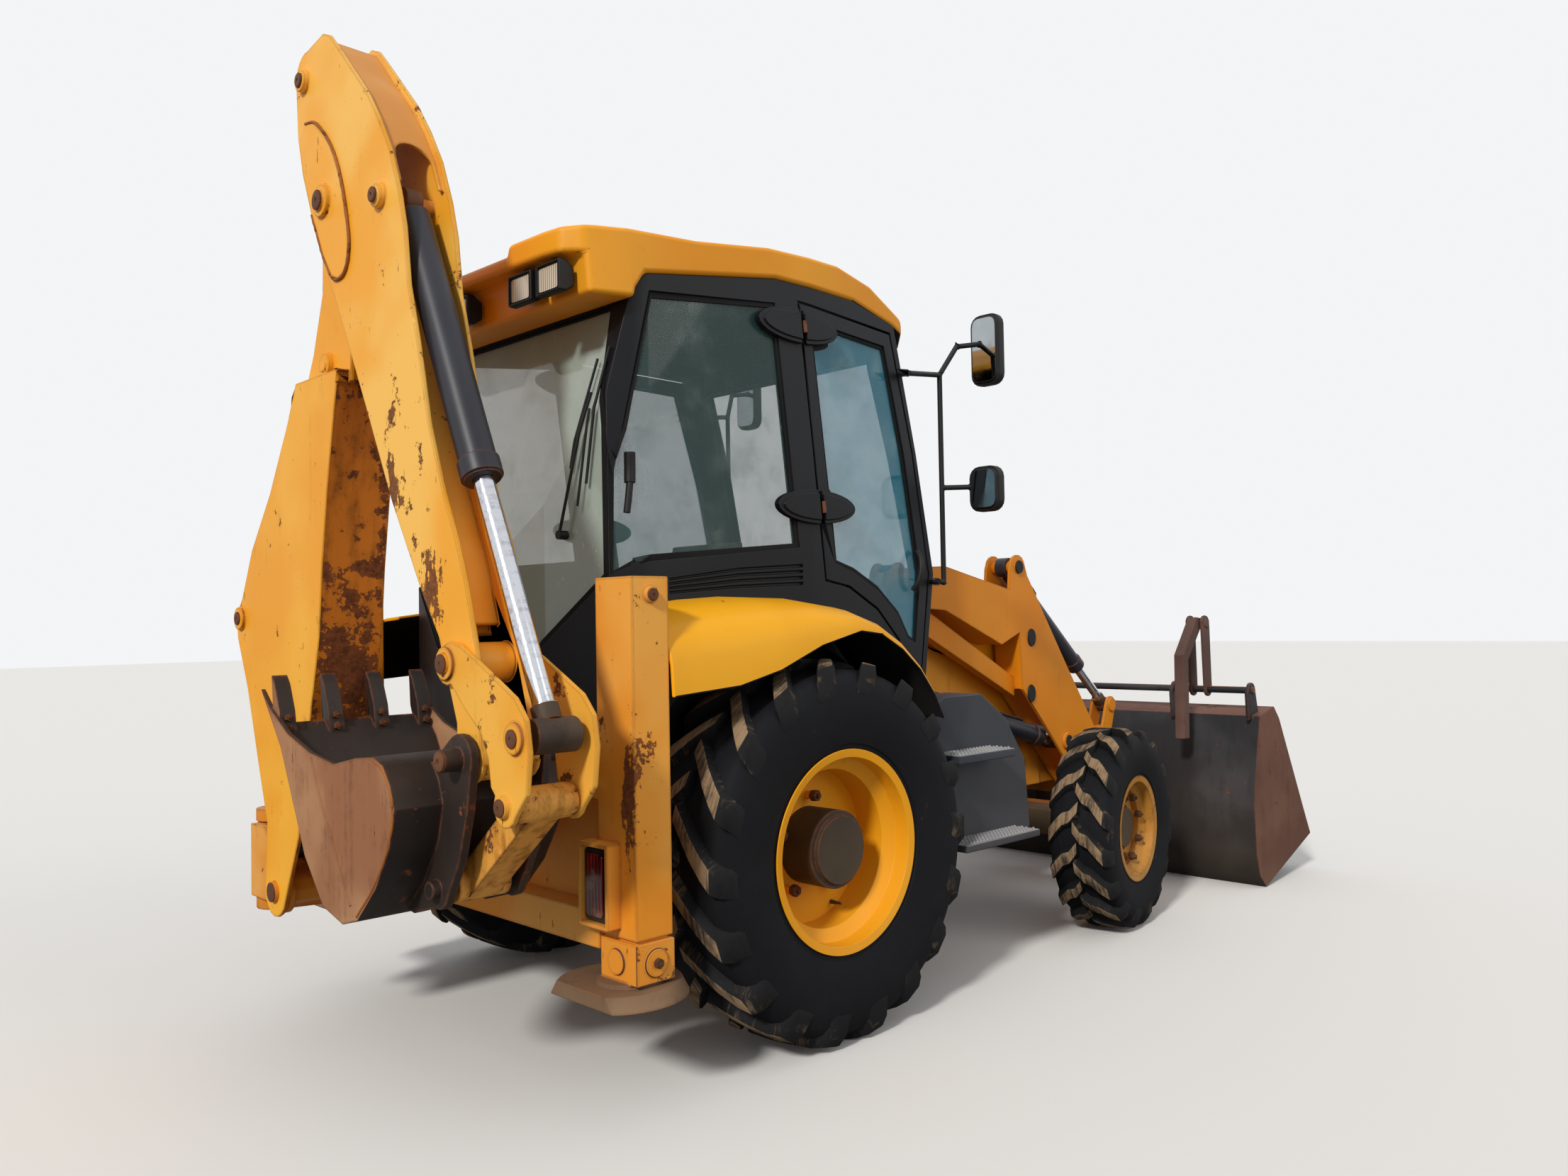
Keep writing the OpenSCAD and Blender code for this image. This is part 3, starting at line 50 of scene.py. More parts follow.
def spot(forward, left, up):
    """A place counted forward from the rear axle, left from the middle and up from the ground."""
    return Vector((rear_axle.x + forward, rear_axle.y + left, up))


def placed(name, data):
    """A new object in the scene that shows this data."""
    made = bpy.data.objects.new(name, data)
    bpy.context.scene.collection.objects.link(made)
    return made


photo_width = 2212
focal_length_pixels = 1681
sensor_width = 36
eye = spot(-3.328, -4.169, 1.593)
turned_left = math.radians(45.32)
tipped_up = math.radians(1.56)
rolled = math.radians(-1.0)
level = Vector((math.cos(turned_left), math.sin(turned_left), 0))
ahead = level * math.cos(tipped_up) + Vector((0, 0, math.sin(tipped_up)))
across = Vector((level.y, -level.x, 0))
lens = bpy.data.cameras.new("yard_camera")
lens.sensor_width = sensor_width
lens.lens = sensor_width * focal_length_pixels / photo_width
camera = placed("yard_camera", lens)
looking = Matrix((across, across.cross(ahead), -ahead)).transposed().to_4x4()
camera.matrix_world = Matrix.Translation(eye) @ looking @ Matrix.Rotation(rolled, 4, "Z")
bpy.context.scene.camera = camera
bpy.context.scene.view_settings.view_transform = "Standard"

# Light and ground
# A low sun from behind the machine's tail, a weak light from the other side and an even sky,
# at a level at which paint shows about its own colour. The ground is one pale plane.
ground_width = 120
sky_on_parts = 0.52
for name, power, softness, run in [
    ("low_sun", 2.2, 7, (0.80, 0.28, -0.55)),
    ("open_side", 0.45, 40, (-0.3, 0.75, -0.35)),
]:
    lamp = bpy.data.lights.new(name, "SUN")
    lamp.energy = power
    lamp.angle = math.radians(softness)
    lamp.color = (1, 0.97, 0.92)
    placed(name, lamp).rotation_euler = Vector(run).to_track_quat("-Z", "Y").to_euler()


def connect(sockets, coats):
    """Coats go to sockets by name or number, and plain values are set there."""
    for key, value in coats.items():
        if isinstance(value, Coat):
            value.tree.links.new(value.socket, sockets[key])
        else:
            sockets[key].default_value = value


class Coat:
    """A number, colour or direction that varies over a finish, with arithmetic on it."""

    def __init__(self, tree, socket=None):
        self.tree = tree
        self.socket = socket

    def node(self, kind, settings=None, sockets=None, result=0):
        made = self.tree.nodes.new(kind)
        for key, value in (settings or {}).items():
            setattr(made, key, value)
        connect(made.inputs, sockets or {})
        return Coat(self.tree, made.outputs[result])

    def maths(self, operation, first, second):
        return self.node("ShaderNodeMath", {"operation": operation}, {0: first, 1: second})

    def __add__(self, other):
        return self.maths("ADD", self, other)

    def __mul__(self, other):
        return self.maths("MULTIPLY", self, other)

    def __sub__(self, other):
        return self.maths("SUBTRACT", self, other)

    def __rsub__(self, other):
        return self.maths("SUBTRACT", other, self)

    __radd__ = __add__
    __rmul__ = __mul__

    def most(self, other):
        return self.maths("MAXIMUM", self, other)

    def between(self, low, high):
        """0 up to low, 1 from high, and a smooth step between them."""
        return self.node(
            "ShaderNodeMapRange", {"interpolation_type": "SMOOTHSTEP"},
            {"Value": self, "From Min": low, "From Max": high},
        )


def blend(start, below, above, share):
    """One colour laid over another, by a share."""
    return start.node("ShaderNodeMix", {"data_type": "RGBA"}, {0: share, 6: below, 7: above}, 2)


def new_finish(name):
    """An empty finish: its material, its shader's sockets, and a start for its coats."""
    material = bpy.data.materials.new(name)
    material.use_nodes = True
    return material, material.node_tree.nodes["Principled BSDF"].inputs, Coat(material.node_tree)


def coated(piece, *finishes):
    """The piece with these finishes added to its list."""
    for finish in finishes:
        piece.data.materials.append(finish)
    return piece


def alone():
    """Nothing is selected and nothing is in edit mode."""
    if bpy.context.object and bpy.context.object.mode != "OBJECT":
        bpy.ops.object.mode_set(mode="OBJECT")
    bpy.ops.object.select_all(action="DESELECT")


def named(name):
    """The piece that was added last, under its own name."""
    bpy.context.object.name = name
    return bpy.context.object


sky = bpy.data.worlds.new("pale_sky")
bpy.context.scene.world = sky
sky.use_nodes = True
sky.node_tree.nodes.clear()
air = Coat(sky.node_tree)
by_camera, by_gloss, through_glass = [
    air.node("ShaderNodeLightPath", result="Is " + kind + " Ray")
    for kind in ("Camera", "Glossy", "Transmission")
]
lit = air.node("ShaderNodeBackground", None, {"Color": (0.97, 0.98, 1, 1), "Strength": sky_on_parts})
shown = air.node("ShaderNodeBackground", None, {"Color": (0.9, 0.91, 0.92, 1)})
seen = by_camera.most(by_gloss).most(through_glass)
sky_choice = air.node("ShaderNodeMixShader", None, {0: seen, 1: lit, 2: shown})
connect(air.tree.nodes.new("ShaderNodeOutputWorld").inputs, {0: sky_choice})

alone()
bpy.ops.mesh.primitive_plane_add(size=ground_width, location=(0, 0, 0))
ground = named("ground")
pale_ground, shader, start = new_finish("pale_ground")
to_camera = start.node("ShaderNodeLightPath", result="Is Camera Ray")
connect(shader, {
    "Base Color": blend(start, (0.26, 0.25, 0.24, 1), (0.86, 0.85, 0.83, 1), to_camera),
    "Roughness": 0.95, "Specular IOR Level": 0.1,
})
coated(ground, pale_ground)

# Chassis and engine
# Two welded rails with cross members, side plates and the loader's towers, sprayed yellow and
# chipped by years of work, with the engine as one dark block of cast iron between the rails.
nodes = frame["nodes"]
body_of = {n: b for b, held in frame["record"]["behaviour"]["bodies"].items() for n in held}


def screen(red, green, blue):
    """A colour as a screen shows it, 0 to 255, in the renderer's own scale."""
    return tuple(
        (c / 255 / 12.92 if c <= 10 else ((c / 255 + 0.055) / 1.055) ** 2.4) for c in (red, green, blue)
    ) + (1,)


def shade(colour, share):
    """The same colour, darker or lighter by a share."""
    return tuple(share * c for c in colour[:3]) + (1,)


def on_part(start, stretch=(1, 1, 1), turned=(0, 0, 0), moved=(0, 0, 0)):
    """The place on the part in metres, stretched and turned for a pattern with a run."""
    place = start.node("ShaderNodeTexCoord", result="Object")
    if stretch == (1, 1, 1) and turned == (0, 0, 0) and moved == (0, 0, 0):
        return place
    turns = {"Vector": place, "Scale": stretch, "Rotation": turned, "Location": moved}
    return start.node("ShaderNodeMapping", None, turns)


def cloud(place, scale, detail=4.0, roughness=0.55):
    """An even cloud from 0 to 1 at a place, with so many lumps a metre."""
    return place.node(
        "ShaderNodeTexNoise", {"noise_dimensions": "3D"},
        {"Vector": place, "Scale": scale, "Detail": detail, "Roughness": roughness},
    )


def relief(height, strength, depth=0.002):
    """Small heights on a surface, so many metres deep."""
    return height.node("ShaderNodeBump", None, {"Height": height, "Strength": strength, "Distance": depth})


def worn_rim(start, reach):
    """How near a sharp edge a place lies: 0 on the flat, about 0.3 on the edge."""
    turned_at_edges = start.node("ShaderNodeBevel", {"samples": 3}, {"Radius": reach})
    straight = start.node("ShaderNodeNewGeometry", result="Normal")
    return 1 - start.node(
        "ShaderNodeVectorMath", {"operation": "DOT_PRODUCT"}, {0: turned_at_edges, 1: straight}, "Value"
    )


rust_dark = screen(70, 36, 24)
rust_light = screen(132, 74, 42)
road_dust = screen(178, 148, 112)


def sprayed(name, colour, cloud_tone, chips, grime, dust, shift=0.0, gloss=0.42, shine=0.28, scars=()):
    """Sprayed steel: paint that has bleached in clouds to a second tone, which on the dipper is partly
    painted sunlight, chips and scratches down to rust, grime that has run down, and road dust near the
    ground. chips, grime and dust run from 0 to 1, and chips from 0.2 wear the edges too. Each scar is a
    place and its half sizes, where more paint is gone."""
    material, shader, start = new_finish(name)
    place = on_part(start, moved=(shift, shift, shift))
    clouds = cloud(place, 1.4, 3.0)
    patches = cloud(place, 10.0, 9.0, 0.7)
    specks = cloud(place, 46.0, 5.0, 0.68)
    runs = cloud(on_part(start, (24, 24, 1.1), moved=(shift, 0, 0)), 1.0, 3.0)
    scores = cloud(on_part(start, (4, 60, 9), (0.6, 0.3, 0.4), (shift, 0, 0)), 1.0, 3.0, 0.6)
    # The second tone is bleached paint, and on the dipper partly painted sunlight.
    paint = blend(start, screen(*colour), screen(*cloud_tone), clouds.between(0.40, 0.62) * 0.8)
    stains = (patches * 0.55 + runs * 0.45).between(0.60 - 0.14 * grime, 0.80 - 0.08 * grime)
    grimy = stains * (0.85 * grime)
    paint = blend(start, paint, shade(screen(*colour), 0.38), grimy)
    chipped = (patches * 0.8 + clouds * 0.2).between(0.70 - 0.125 * chips, 0.708 - 0.125 * chips)
    specked = specks.between(0.76 - 0.09 * chips, 0.768 - 0.09 * chips) * clouds.between(0.36, 0.5)
    scored = scores.between(0.76 - 0.08 * chips, 0.767 - 0.08 * chips) * patches.between(0.45, 0.5)
    bare = chipped.most(specked).most(scored)
    if chips >= 0.2:
        worn = worn_rim(start, 0.014).between(0.015, 0.16) * 0.34 + patches * 0.55 + specks * 0.2
        bare = bare.most(worn.between(0.66 - 0.07 * chips, 0.675 - 0.07 * chips))
    for middle, reach in scars:
        from_middle = on_part(start, [1 / r for r in reach], moved=[-m / r for m, r in zip(middle, reach)])
        outside = start.node("ShaderNodeVectorMath", {"operation": "LENGTH"}, {0: from_middle}, "Value")
        torn = patches * 0.5 + specks * 0.25 + scores * 0.25 - outside * 0.16
        bare = bare.most(torn.between(0.40, 0.41))
    rust = blend(start, rust_dark, rust_light, specks.between(0.3, 0.7))
    surface = blend(start, paint, rust, bare * 0.94)
    height = start.node("ShaderNodeSeparateXYZ", None, {"Vector": on_part(start)}, "Z")
    dusty = ((1.1 - height) * 0.45 + clouds * 0.55).between(0.30, 0.95) * dust
    connect(shader, {
        "Base Color": blend(start, surface, road_dust, dusty),
        "Roughness": gloss + bare * 0.4 + dusty * 0.3 + grimy * 0.15 + patches * 0.08,
        "Normal": relief(specks * 0.2 - bare * 0.7, 0.3),
        "Specular IOR Level": shine,
    })
    return material


def take(piece):
    """Only this piece is selected and active."""
    alone()
    piece.select_set(True)
    bpy.context.view_layer.objects.active = piece


def edit(choice="SELECT"):
    """In edit mode, with everything or nothing selected."""
    bpy.ops.object.mode_set(mode="EDIT")
    bpy.ops.mesh.select_all(action=choice)


def leave_edit():
    bpy.ops.object.mode_set(mode="OBJECT")


def smooth(sharper_than):
    """Smooth to the light, but for edges sharper than an angle."""
    bpy.ops.object.shade_smooth_by_angle(angle=math.radians(sharper_than))


def apply_all(piece):
    """All modifiers of a piece become part of its mesh."""
    take(piece)
    for modifier in list(piece.modifiers):
        bpy.ops.object.modifier_apply(modifier=modifier.name)


def rounded(piece, radius, sharper_than=32, steps=2, held_in=False):
    """Edges sharper than an angle are rounded, and the faces between them stay flat to the light.
    Where a piece has needle-like corners, the rounding is held in there."""
    edge = piece.modifiers.new("rounded_edges", "BEVEL")
    edge.width = radius
    edge.segments = steps
    edge.limit_method = "ANGLE"
    edge.angle_limit = math.radians(sharper_than)
    edge.use_clamp_overlap = held_in
    apply_all(piece)
    smooth(42)
    flat = piece.modifiers.new("flat_faces", "WEIGHTED_NORMAL")
    flat.keep_sharp = True
    apply_all(piece)


def bare_copy(node, name):
    """The node's own shape with its loose triangles joined up, flat where the solid is flat."""
    piece = placed(name, nodes[node].data.copy())
    piece.data.materials.clear()
    piece.data.polygons.foreach_set("material_index", [0] * len(piece.data.polygons))
    take(piece)
    edit()
    bpy.ops.mesh.remove_doubles(threshold=2e-5)
    bpy.ops.mesh.dissolve_limited(angle_limit=math.radians(0.5))
    leave_edit()
    return piece


def settle(piece, body="machine", like="mirrors"):
    """A finished piece rides on its body. The node given as like is not used."""
    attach(piece, body)


def skin(node, radius, finish, sharper_than=32, steps=2):
    """The node's own shape with its edges rounded and its finish on, in place of the plain solid."""
    piece = coated(bare_copy(node, node + "_finished"), finish)
    rounded(piece, radius, sharper_than, steps)
    settle(piece, body_of[node], node)
    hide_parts(node)
    return piece


skin("chassis", 0.004, sprayed("chassis_paint", (226, 142, 24), (238, 166, 56), 0.25, 0.5, 0.25))
engine_iron = sprayed("engine_iron", (40, 38, 37), (60, 56, 52), 0.2, 0.5, 0.4, gloss=0.6, shine=0.3)
skin("engine", 0.02, engine_iron)

# Axles and knuckles
# A cast banjo housing with its drums behind and a forged beam with steering knuckles in front,
# all black under road dirt.
axle_iron = sprayed("axle_iron", (32, 30, 29), (52, 48, 44), 0.45, 0.6, 0.6, gloss=0.62, shine=0.25)
for node, radius in [("axles", 0.012), ("knuckle_left", 0.006), ("knuckle_right", 0.006)]:
    skin(node, radius, axle_iron)


# Tyres
# Wide ply tyres on each wheel: a black carcass with a fine rubbed side, and thick bars moulded
# across the tread, whose tops and shoulders hold the yard's sandy dust.
def rubbery(name, colour, dust, rub=0.0):
    """Weathered rubber, greyed by rubbing and dusted in clouds."""
    material, shader, start = new_finish(name)
    place = on_part(start)
    clouds = cloud(place, 6.0, 5.0, 0.6)
    grain = cloud(place, 140.0, 4.0, 0.7)
    smears = cloud(on_part(start, (3, 30, 3)), 3.0, 5.0, 0.65)
    colour = screen(*colour)
    surface = blend(start, colour, shade(colour, 1.9), clouds.between(0.35, 0.7) * (0.5 + rub))
    dusty = (clouds * 0.5 + smears * 0.5).between(0.62 - 0.3 * dust, 0.72 - 0.16 * dust)
    connect(shader, {
        "Base Color": blend(start, surface, road_dust, dusty * (0.12 + 0.74 * dust)),
        "Roughness": 0.72 + dusty * 0.2,
        "Normal": relief(grain + clouds, 0.25),
        "Specular IOR Level": 0.18,
    })
    return material


tyre_rubbers = [
    rubbery("side_rubber", (14, 15, 19), 0.04), rubbery("bar_rubber", (22, 22, 24), 0.25, 0.2),
    rubbery("bar_top", (48, 43, 40), 0.78, 0.3),
]


def lathe(name, section, steps, ring=False):
    """A section of places, each a distance along the axle and a radius, turned round the axle.
    A ring's section is closed, and any other begins and ends on the axle."""
    alone()
    bpy.ops.mesh.primitive_circle_add(vertices=len(section), radius=1, fill_type="NOTHING")
    piece = named(name)
    for point, (along, radius) in zip(piece.data.vertices, section):
        point.co = (0, along, radius)
    if not ring:
        edit("DESELECT")
        leave_edit()
        for line in piece.data.edges:
            line.select = set(line.vertices) == {0, len(section) - 1}
        bpy.ops.object.mode_set(mode="EDIT")
        bpy.ops.mesh.select_mode(type="EDGE")
        bpy.ops.mesh.delete(type="EDGE")
        bpy.ops.mesh.select_mode(type="VERT")
    edit()
    bpy.ops.mesh.spin(steps=steps, angle=2 * math.pi, center=(0, 0, 0), axis=(0, 1, 0))
    bpy.ops.mesh.select_all(action="SELECT")
    bpy.ops.mesh.remove_doubles(threshold=2e-5)
    bpy.ops.mesh.normals_make_consistent(inside=False)
    leave_edit()
    return piece


def together(name, pieces):
    """Several meshes become one piece."""
    alone()
    for piece in pieces:
        piece.select_set(True)
    bpy.context.view_layer.objects.active = pieces[0]
    bpy.ops.object.join()
    return named(name)


def copied(pattern, frames):
    """The pattern's mesh once at each frame, and the pattern itself is gone."""
    made = []
    for where in frames:
        mesh = pattern.data.copy()
        mesh.transform(where)
        if where.determinant() < 0:
            mesh.flip_normals()
        made.append(placed(pattern.name, mesh))
    bpy.data.objects.remove(pattern)
    return made


def tread_bar(name, stations):
    """One bar of the tread, drawn from the middle of the tread to the side. Each station gives
    the distance from the middle, the bottom and top radius, the angle round the wheel in
    degrees, and the width of the bar's foot and top."""
    alone()
    bpy.ops.mesh.primitive_plane_add(size=1)
    bar = named(name)
    edit()
    for station in stations[1:]:
        bpy.ops.mesh.extrude_region_move(TRANSFORM_OT_translate={"value": (0, 0, 1)})
    leave_edit()
    for point in bar.data.vertices:
        along, low, high, angle, foot, top = stations[round(point.co.z)]
        radius, width = (high, top) if point.co.y > 0 else (low, foot)
        swing = math.radians(angle) + math.copysign(width / 2 / radius, point.co.x)
        point.co = (radius * math.sin(swing), along, radius * math.cos(swing))
    edit()
    bpy.ops.mesh.normals_make_consistent(inside=False)
    leave_edit()
    return bar


def shod(node, bars, carcass, stations, where):
    """A tyre: its carcass, and its bars on both sides, half a pitch apart."""
    parts = [coated(lathe(node + "_carcass", carcass, 108, ring=True), *tyre_rubbers)]
    pitch = 2 * math.pi / bars
    for side, start in [(-1, 0.21), (1, 0.71)]:
        bar = coated(tread_bar(node + "_bar", stations), *tyre_rubbers)
        for face in bar.data.polygons:
            at = face.center
            outwards = (at.x * face.normal.x + at.z * face.normal.z) / math.hypot(at.x, at.z)
            face.material_index = 2 if outwards > 0.72 else 1
        edge = bar.modifiers.new("rounded_edges", "BEVEL")
        edge.width = 0.005
        edge.segments = 2
        edge.angle_limit = math.radians(40)
        apply_all(bar)
        mirrored = Matrix.Scale(side, 4, (0, 1, 0))
        parts += copied(bar, [Matrix.Rotation(pitch * (start + i), 4, "Y") @ mirrored for i in range(bars)])
    tyre = together(node + "_shod", parts)
    tyre.data.transform(where)
    smooth(38)
    settle(tyre, body_of[node], node)
    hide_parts(node)


def mirrored_section(half):
    """A carcass section given on one side, closed over the middle."""
    return half + [(-along, radius) for along, radius in reversed(half)]


rear_carcass = mirrored_section([
    (0.168, 0.362), (0.176, 0.372), (0.180, 0.400), (0.186, 0.404), (0.200, 0.455), (0.2095, 0.530),
    (0.2095, 0.585), (0.203, 0.630), (0.190, 0.662), (0.165, 0.680), (0.09, 0.684),
])
rear_stations = [
    (-0.012, 0.675, 0.7215, 3, 0.105, 0.060),
    (0.045, 0.675, 0.7215, -1.5, 0.108, 0.066),
    (0.10, 0.675, 0.7205, -6.5, 0.112, 0.072),
    (0.155, 0.668, 0.7175, -11.0, 0.118, 0.080),
    (0.190, 0.645, 0.708, -14.2, 0.120, 0.084),
    (0.2045, 0.615, 0.670, -16.0, 0.110, 0.080),
    (0.2095, 0.590, 0.615, -17.0, 0.090, 0.070),
]
front_carcass = mirrored_section([
    (0.127, 0.245), (0.134, 0.254), (0.137, 0.278), (0.142, 0.281), (0.152, 0.320), (0.1585, 0.360),
    (0.1585, 0.395), (0.153, 0.430), (0.141, 0.452), (0.12, 0.464), (0.06, 0.467),
])
front_stations = [
    (-0.012, 0.458, 0.5045, 3, 0.100, 0.056),
    (0.03, 0.458, 0.5045, -3, 0.102, 0.060),
    (0.065, 0.458, 0.504, -4.5, 0.104, 0.064),
    (0.10, 0.456, 0.502, -9.0, 0.106, 0.068),
    (0.135, 0.440, 0.493, -14.0, 0.104, 0.070),
    (0.1535, 0.412, 0.460, -16.0, 0.094, 0.066),
    (0.158, 0.392, 0.415, -17.0, 0.080, 0.058),
]
pin_run = {j["name"]: Vector(j["axis"]) for j in frame["joints"]}
side_out = {"left": 1, "right": -1}
wheel_frames = {}
for end, bars, carcass, stations in [
    ("rear", 18, rear_carcass, rear_stations), ("front", 16, front_carcass, front_stations),
]:
    for side in side_out:
        wheel = end + "_" + side
        run = pin_run[wheel + "_roll"]
        turn = Matrix.Rotation(math.atan2(-run.x, run.y), 4, "Z")
        wheel_frames[wheel] = Matrix.Translation(pin_place[wheel + "_roll"]) @ turn
        shod("tyre_" + wheel, bars, carcass, stations, wheel_frames[wheel])

# Rims
# Welded steel rims, sprayed yellow, with a dark hub in the middle: five studs round it behind and
# eight nuts in front, and a valve through each rim.
rim_paint = sprayed("rim_paint", (238, 158, 8), (240, 166, 26), 0.10, 0.35, 0.10, gloss=0.34)
front_rim_paint = sprayed("front_rim_paint", (204, 138, 24), (190, 130, 40), 0.6, 0.9, 0.4, gloss=0.5)
hub_iron = sprayed("hub_iron", (42, 35, 28), (62, 52, 40), 0.35, 0.6, 0.2, gloss=0.5, shine=0.3)
stud_rust = sprayed("stud_rust", (72, 50, 34), (96, 66, 42), 0.6, 0.6, 0.1, gloss=0.6)
valve_black = sprayed("valve_black", (30, 30, 31), (40, 40, 40), 0.0, 0.3, 0.3, gloss=0.6)


def picked(piece, chosen):
    """The faces that a test picks by their middle, counted as spot counts, and their direction."""
    return [face for face in piece.data.polygons if chosen(face.center - spot(0, 0, 0), face.normal)]


def only_faces(piece, chosen):
    """In edit mode, with only the faces selected that a test picks."""
    edit("DESELECT")
    leave_edit()
    for face in picked(piece, chosen):
        face.select = True
    bpy.ops.object.mode_set(mode="EDIT")


def marked(piece, finish, chosen):
    """The faces that a test picks take another finish."""
    coated(piece, finish)
    for face in picked(piece, chosen):
        face.material_index = len(piece.data.materials) - 1


def hex_nut(name, across_flats, height):
    """A rusty nut or bolt head that stands out along the axle, with its corners turned off."""
    alone()
    bpy.ops.mesh.primitive_cylinder_add(vertices=6, radius=across_flats / math.sqrt(3), depth=height)
    nut = coated(named(name), stud_rust)
    only_faces(nut, lambda at, facing: facing.z > 0.9)
    for width, depth in [(0.07, 0.14), (0.2, 0), (0.04, 0.45)]:
        bpy.ops.mesh.inset(thickness=across_flats * width, depth=height * depth)
    leave_edit()
    nut.data.transform(Matrix.Translation((0, 0, height / 2)))
    smooth(25)
    return nut


def towards(place, run, spin=0.0):
    """A frame at a place whose own upward axis points along a run."""
    turn = Vector(run).to_track_quat("Z", "Y").to_matrix().to_4x4()
    return Matrix.Translation(place) @ turn @ Matrix.Rotation(spin, 4, "Z")


def scattered(name, pattern, frames, body, like="axles"):
    """The pattern at each frame, as one piece on a body."""
    settle(together(name, copied(pattern, frames)), body, like)


first_stud = 17
valve_angle = math.radians(-62)
for end, studs, circle, face_out, size, paint, valve_out in [
    ("rear", 5, 0.192, -0.006, 0.040, rim_paint, 0.085),
    ("front", 8, 0.160, 0.070, 0.034, front_rim_paint, 0.035),
]:
    for side, out in side_out.items():
        node = "rim_" + end + "_" + side
        rim = skin(node, 0.002, paint, 40)
        where = wheel_frames[end + "_" + side]

        def in_hub(at, facing):
            local = where.inverted() @ (at + spot(0, 0, 0))
            return math.hypot(local.x, local.z) < circle - 0.03 and local.y * out > face_out - 0.028

        marked(rim, hub_iron, in_hub)
        spots = []
        for i in range(studs):
            angle = math.radians(360 / studs * i + first_stud)
            place = (circle * math.cos(angle), out * face_out, circle * math.sin(angle))
            spots.append(where @ towards(place, (0, out, 0), angle))
        scattered(node + "_nuts", hex_nut(node + "_nuts", size, 0.024), spots, body_of[node])
        section = [(0, 0), (0, 0.009), (0.03, 0.007), (0.034, 0.005), (0.055, 0.005), (0.055, 0)]
        valve = coated(lathe(node + "_valve", section, 12), valve_black)
        reach = circle + valve_out
        place = (reach * math.cos(valve_angle), out * (face_out - 0.034), reach * math.sin(valve_angle))
        valve.data.transform(where @ Matrix.Translation(place) @ Matrix.Scale(out, 4, (0, 1, 0)))
        if out < 0:
            valve.data.flip_normals()
        settle(valve, body_of[node], "tyre_" + end + "_" + side)

# Bonnet and fenders
# Pressed steel over the engine and a rolled sheet over each rear wheel, sprayed yellow, with a
# black sealed underside where the tyre throws stones.
panel_paint = sprayed("panel_paint", (240, 166, 10), (246, 176, 22), 0.10, 0.25, 0.04, 17.0, 0.34)
underseal = sprayed("underseal", (20, 20, 20), (34, 31, 28), 0.0, 0.4, 0.4, gloss=0.8)
skin("hood", 0.010, panel_paint)
sheet_middle_up = 0.9
marked(
    skin("fenders", 0.006, panel_paint), underseal,
    lambda at, facing: facing.z < -0.05 and facing.dot(at - Vector((0, at.y, sheet_middle_up))) < 0,
)

# Cab
# A black frame of pressed sections, its black tinted faintly blue as a painted sheen of the sky,
# doors hinged at the back behind oval covers, tinted glass held in thick rubber, with a painted blue
# sky seen through the door glass and a painted pale sky reflected in the rear pane, and outside it
# the wipers and a window latch.
# The cab's black is tinted faintly blue: a painted sheen of the sky on it.
cab_black_sky_tint = sprayed("cab_black_sky_tint", (10, 12, 17), (18, 20, 25), 0.06, 0.25, 0.08, 2.0, 0.42, 0.25)
window_rubber = sprayed("window_rubber", (14, 14, 15), (24, 24, 24), 0.0, 0.3, 0.25, gloss=0.7, shine=0.2)
skin("cab_shell", 0.003, cab_black_sky_tint)


def tinted(name, tint, covering, sky_reflection=0.0):
    """Toughened glass with a green tint, a film of dust and dried spatter. The pale colour that the film and the
    haze blend it towards is partly dust and partly a painted reflection of the sky.
    """
    material, shader, start = new_finish(name)
    film = cloud(on_part(start), 3.5, 6.0, 0.65)
    drops = cloud(on_part(start, (1, 1, 0.35)), 60.0, 3.0, 0.6)
    splashed = cloud(on_part(start, moved=(3, 1, 2)), 2.2, 2.0)
    spatter = drops.between(0.68, 0.72) * splashed.between(0.56, 0.68) * 0.7
    # The film is dust. The last number adds a painted reflection of a pale sky.
    dust_and_sky_reflection = film.between(0.5, 0.75) * 0.35 + sky_reflection * 0.6
    colour = blend(start, screen(*tint), screen(176, 190, 184), dust_and_sky_reflection)
    connect(shader, {
        "Base Color": blend(start, colour, screen(188, 186, 176), spatter * 0.6),
        "Roughness": 0.03 + film.between(0.5, 0.9) * 0.1 + spatter * 0.5,
        "Alpha": covering + film.between(0.45, 0.75) * 0.14 + spatter * 0.4,
        "Specular IOR Level": 0.75,
    })
    return material


# The door glass is tinted cyan: a painted blue sky seen through both doors' panes.
door_painted_sky = tinted("door_painted_sky", (62, 146, 170), 0.42)
glass_set = nodes["cab_glass"]
glass_set.data.materials.clear()
coated(glass_set, tinted("cab_tint", (70, 104, 100), 0.24))
# The rear pane is pale green-grey: a painted reflection of a pale sky on it.
marked(
    glass_set, tinted("rear_painted_sky", (196, 212, 202), 0.46, 0.3),
    lambda at, facing: at.x < -0.68 and abs(facing.x) > 0.7,
)


def keep_faces(piece, chosen):
    """Only the faces that a test picks are left."""
    take(piece)
    only_faces(piece, lambda at, facing: not chosen(at, facing))
    bpy.ops.mesh.delete(type="FACE")
    leave_edit()


def pane_seal(name, source, chosen, width, proud, body):
    """Rubber round the edge of each pane that a test picks, standing a little proud of the glass."""
    ring = bare_copy(source, name)
    keep_faces(ring, chosen)
    bpy.ops.object.mode_set(mode="EDIT")
    bpy.ops.mesh.select_mode(type="FACE")
    bpy.ops.mesh.select_all(action="SELECT")
    bpy.ops.mesh.inset(thickness=width, use_even_offset=False)
    bpy.ops.mesh.delete(type="FACE")
    leave_edit()
    bead = ring.modifiers.new("bead", "SOLIDIFY")
    bead.thickness = proud
    bead.offset = 1
    rounded(coated(ring, window_rubber), proud * 0.42, 50, held_in=True)
    settle(ring, body, "mirrors")


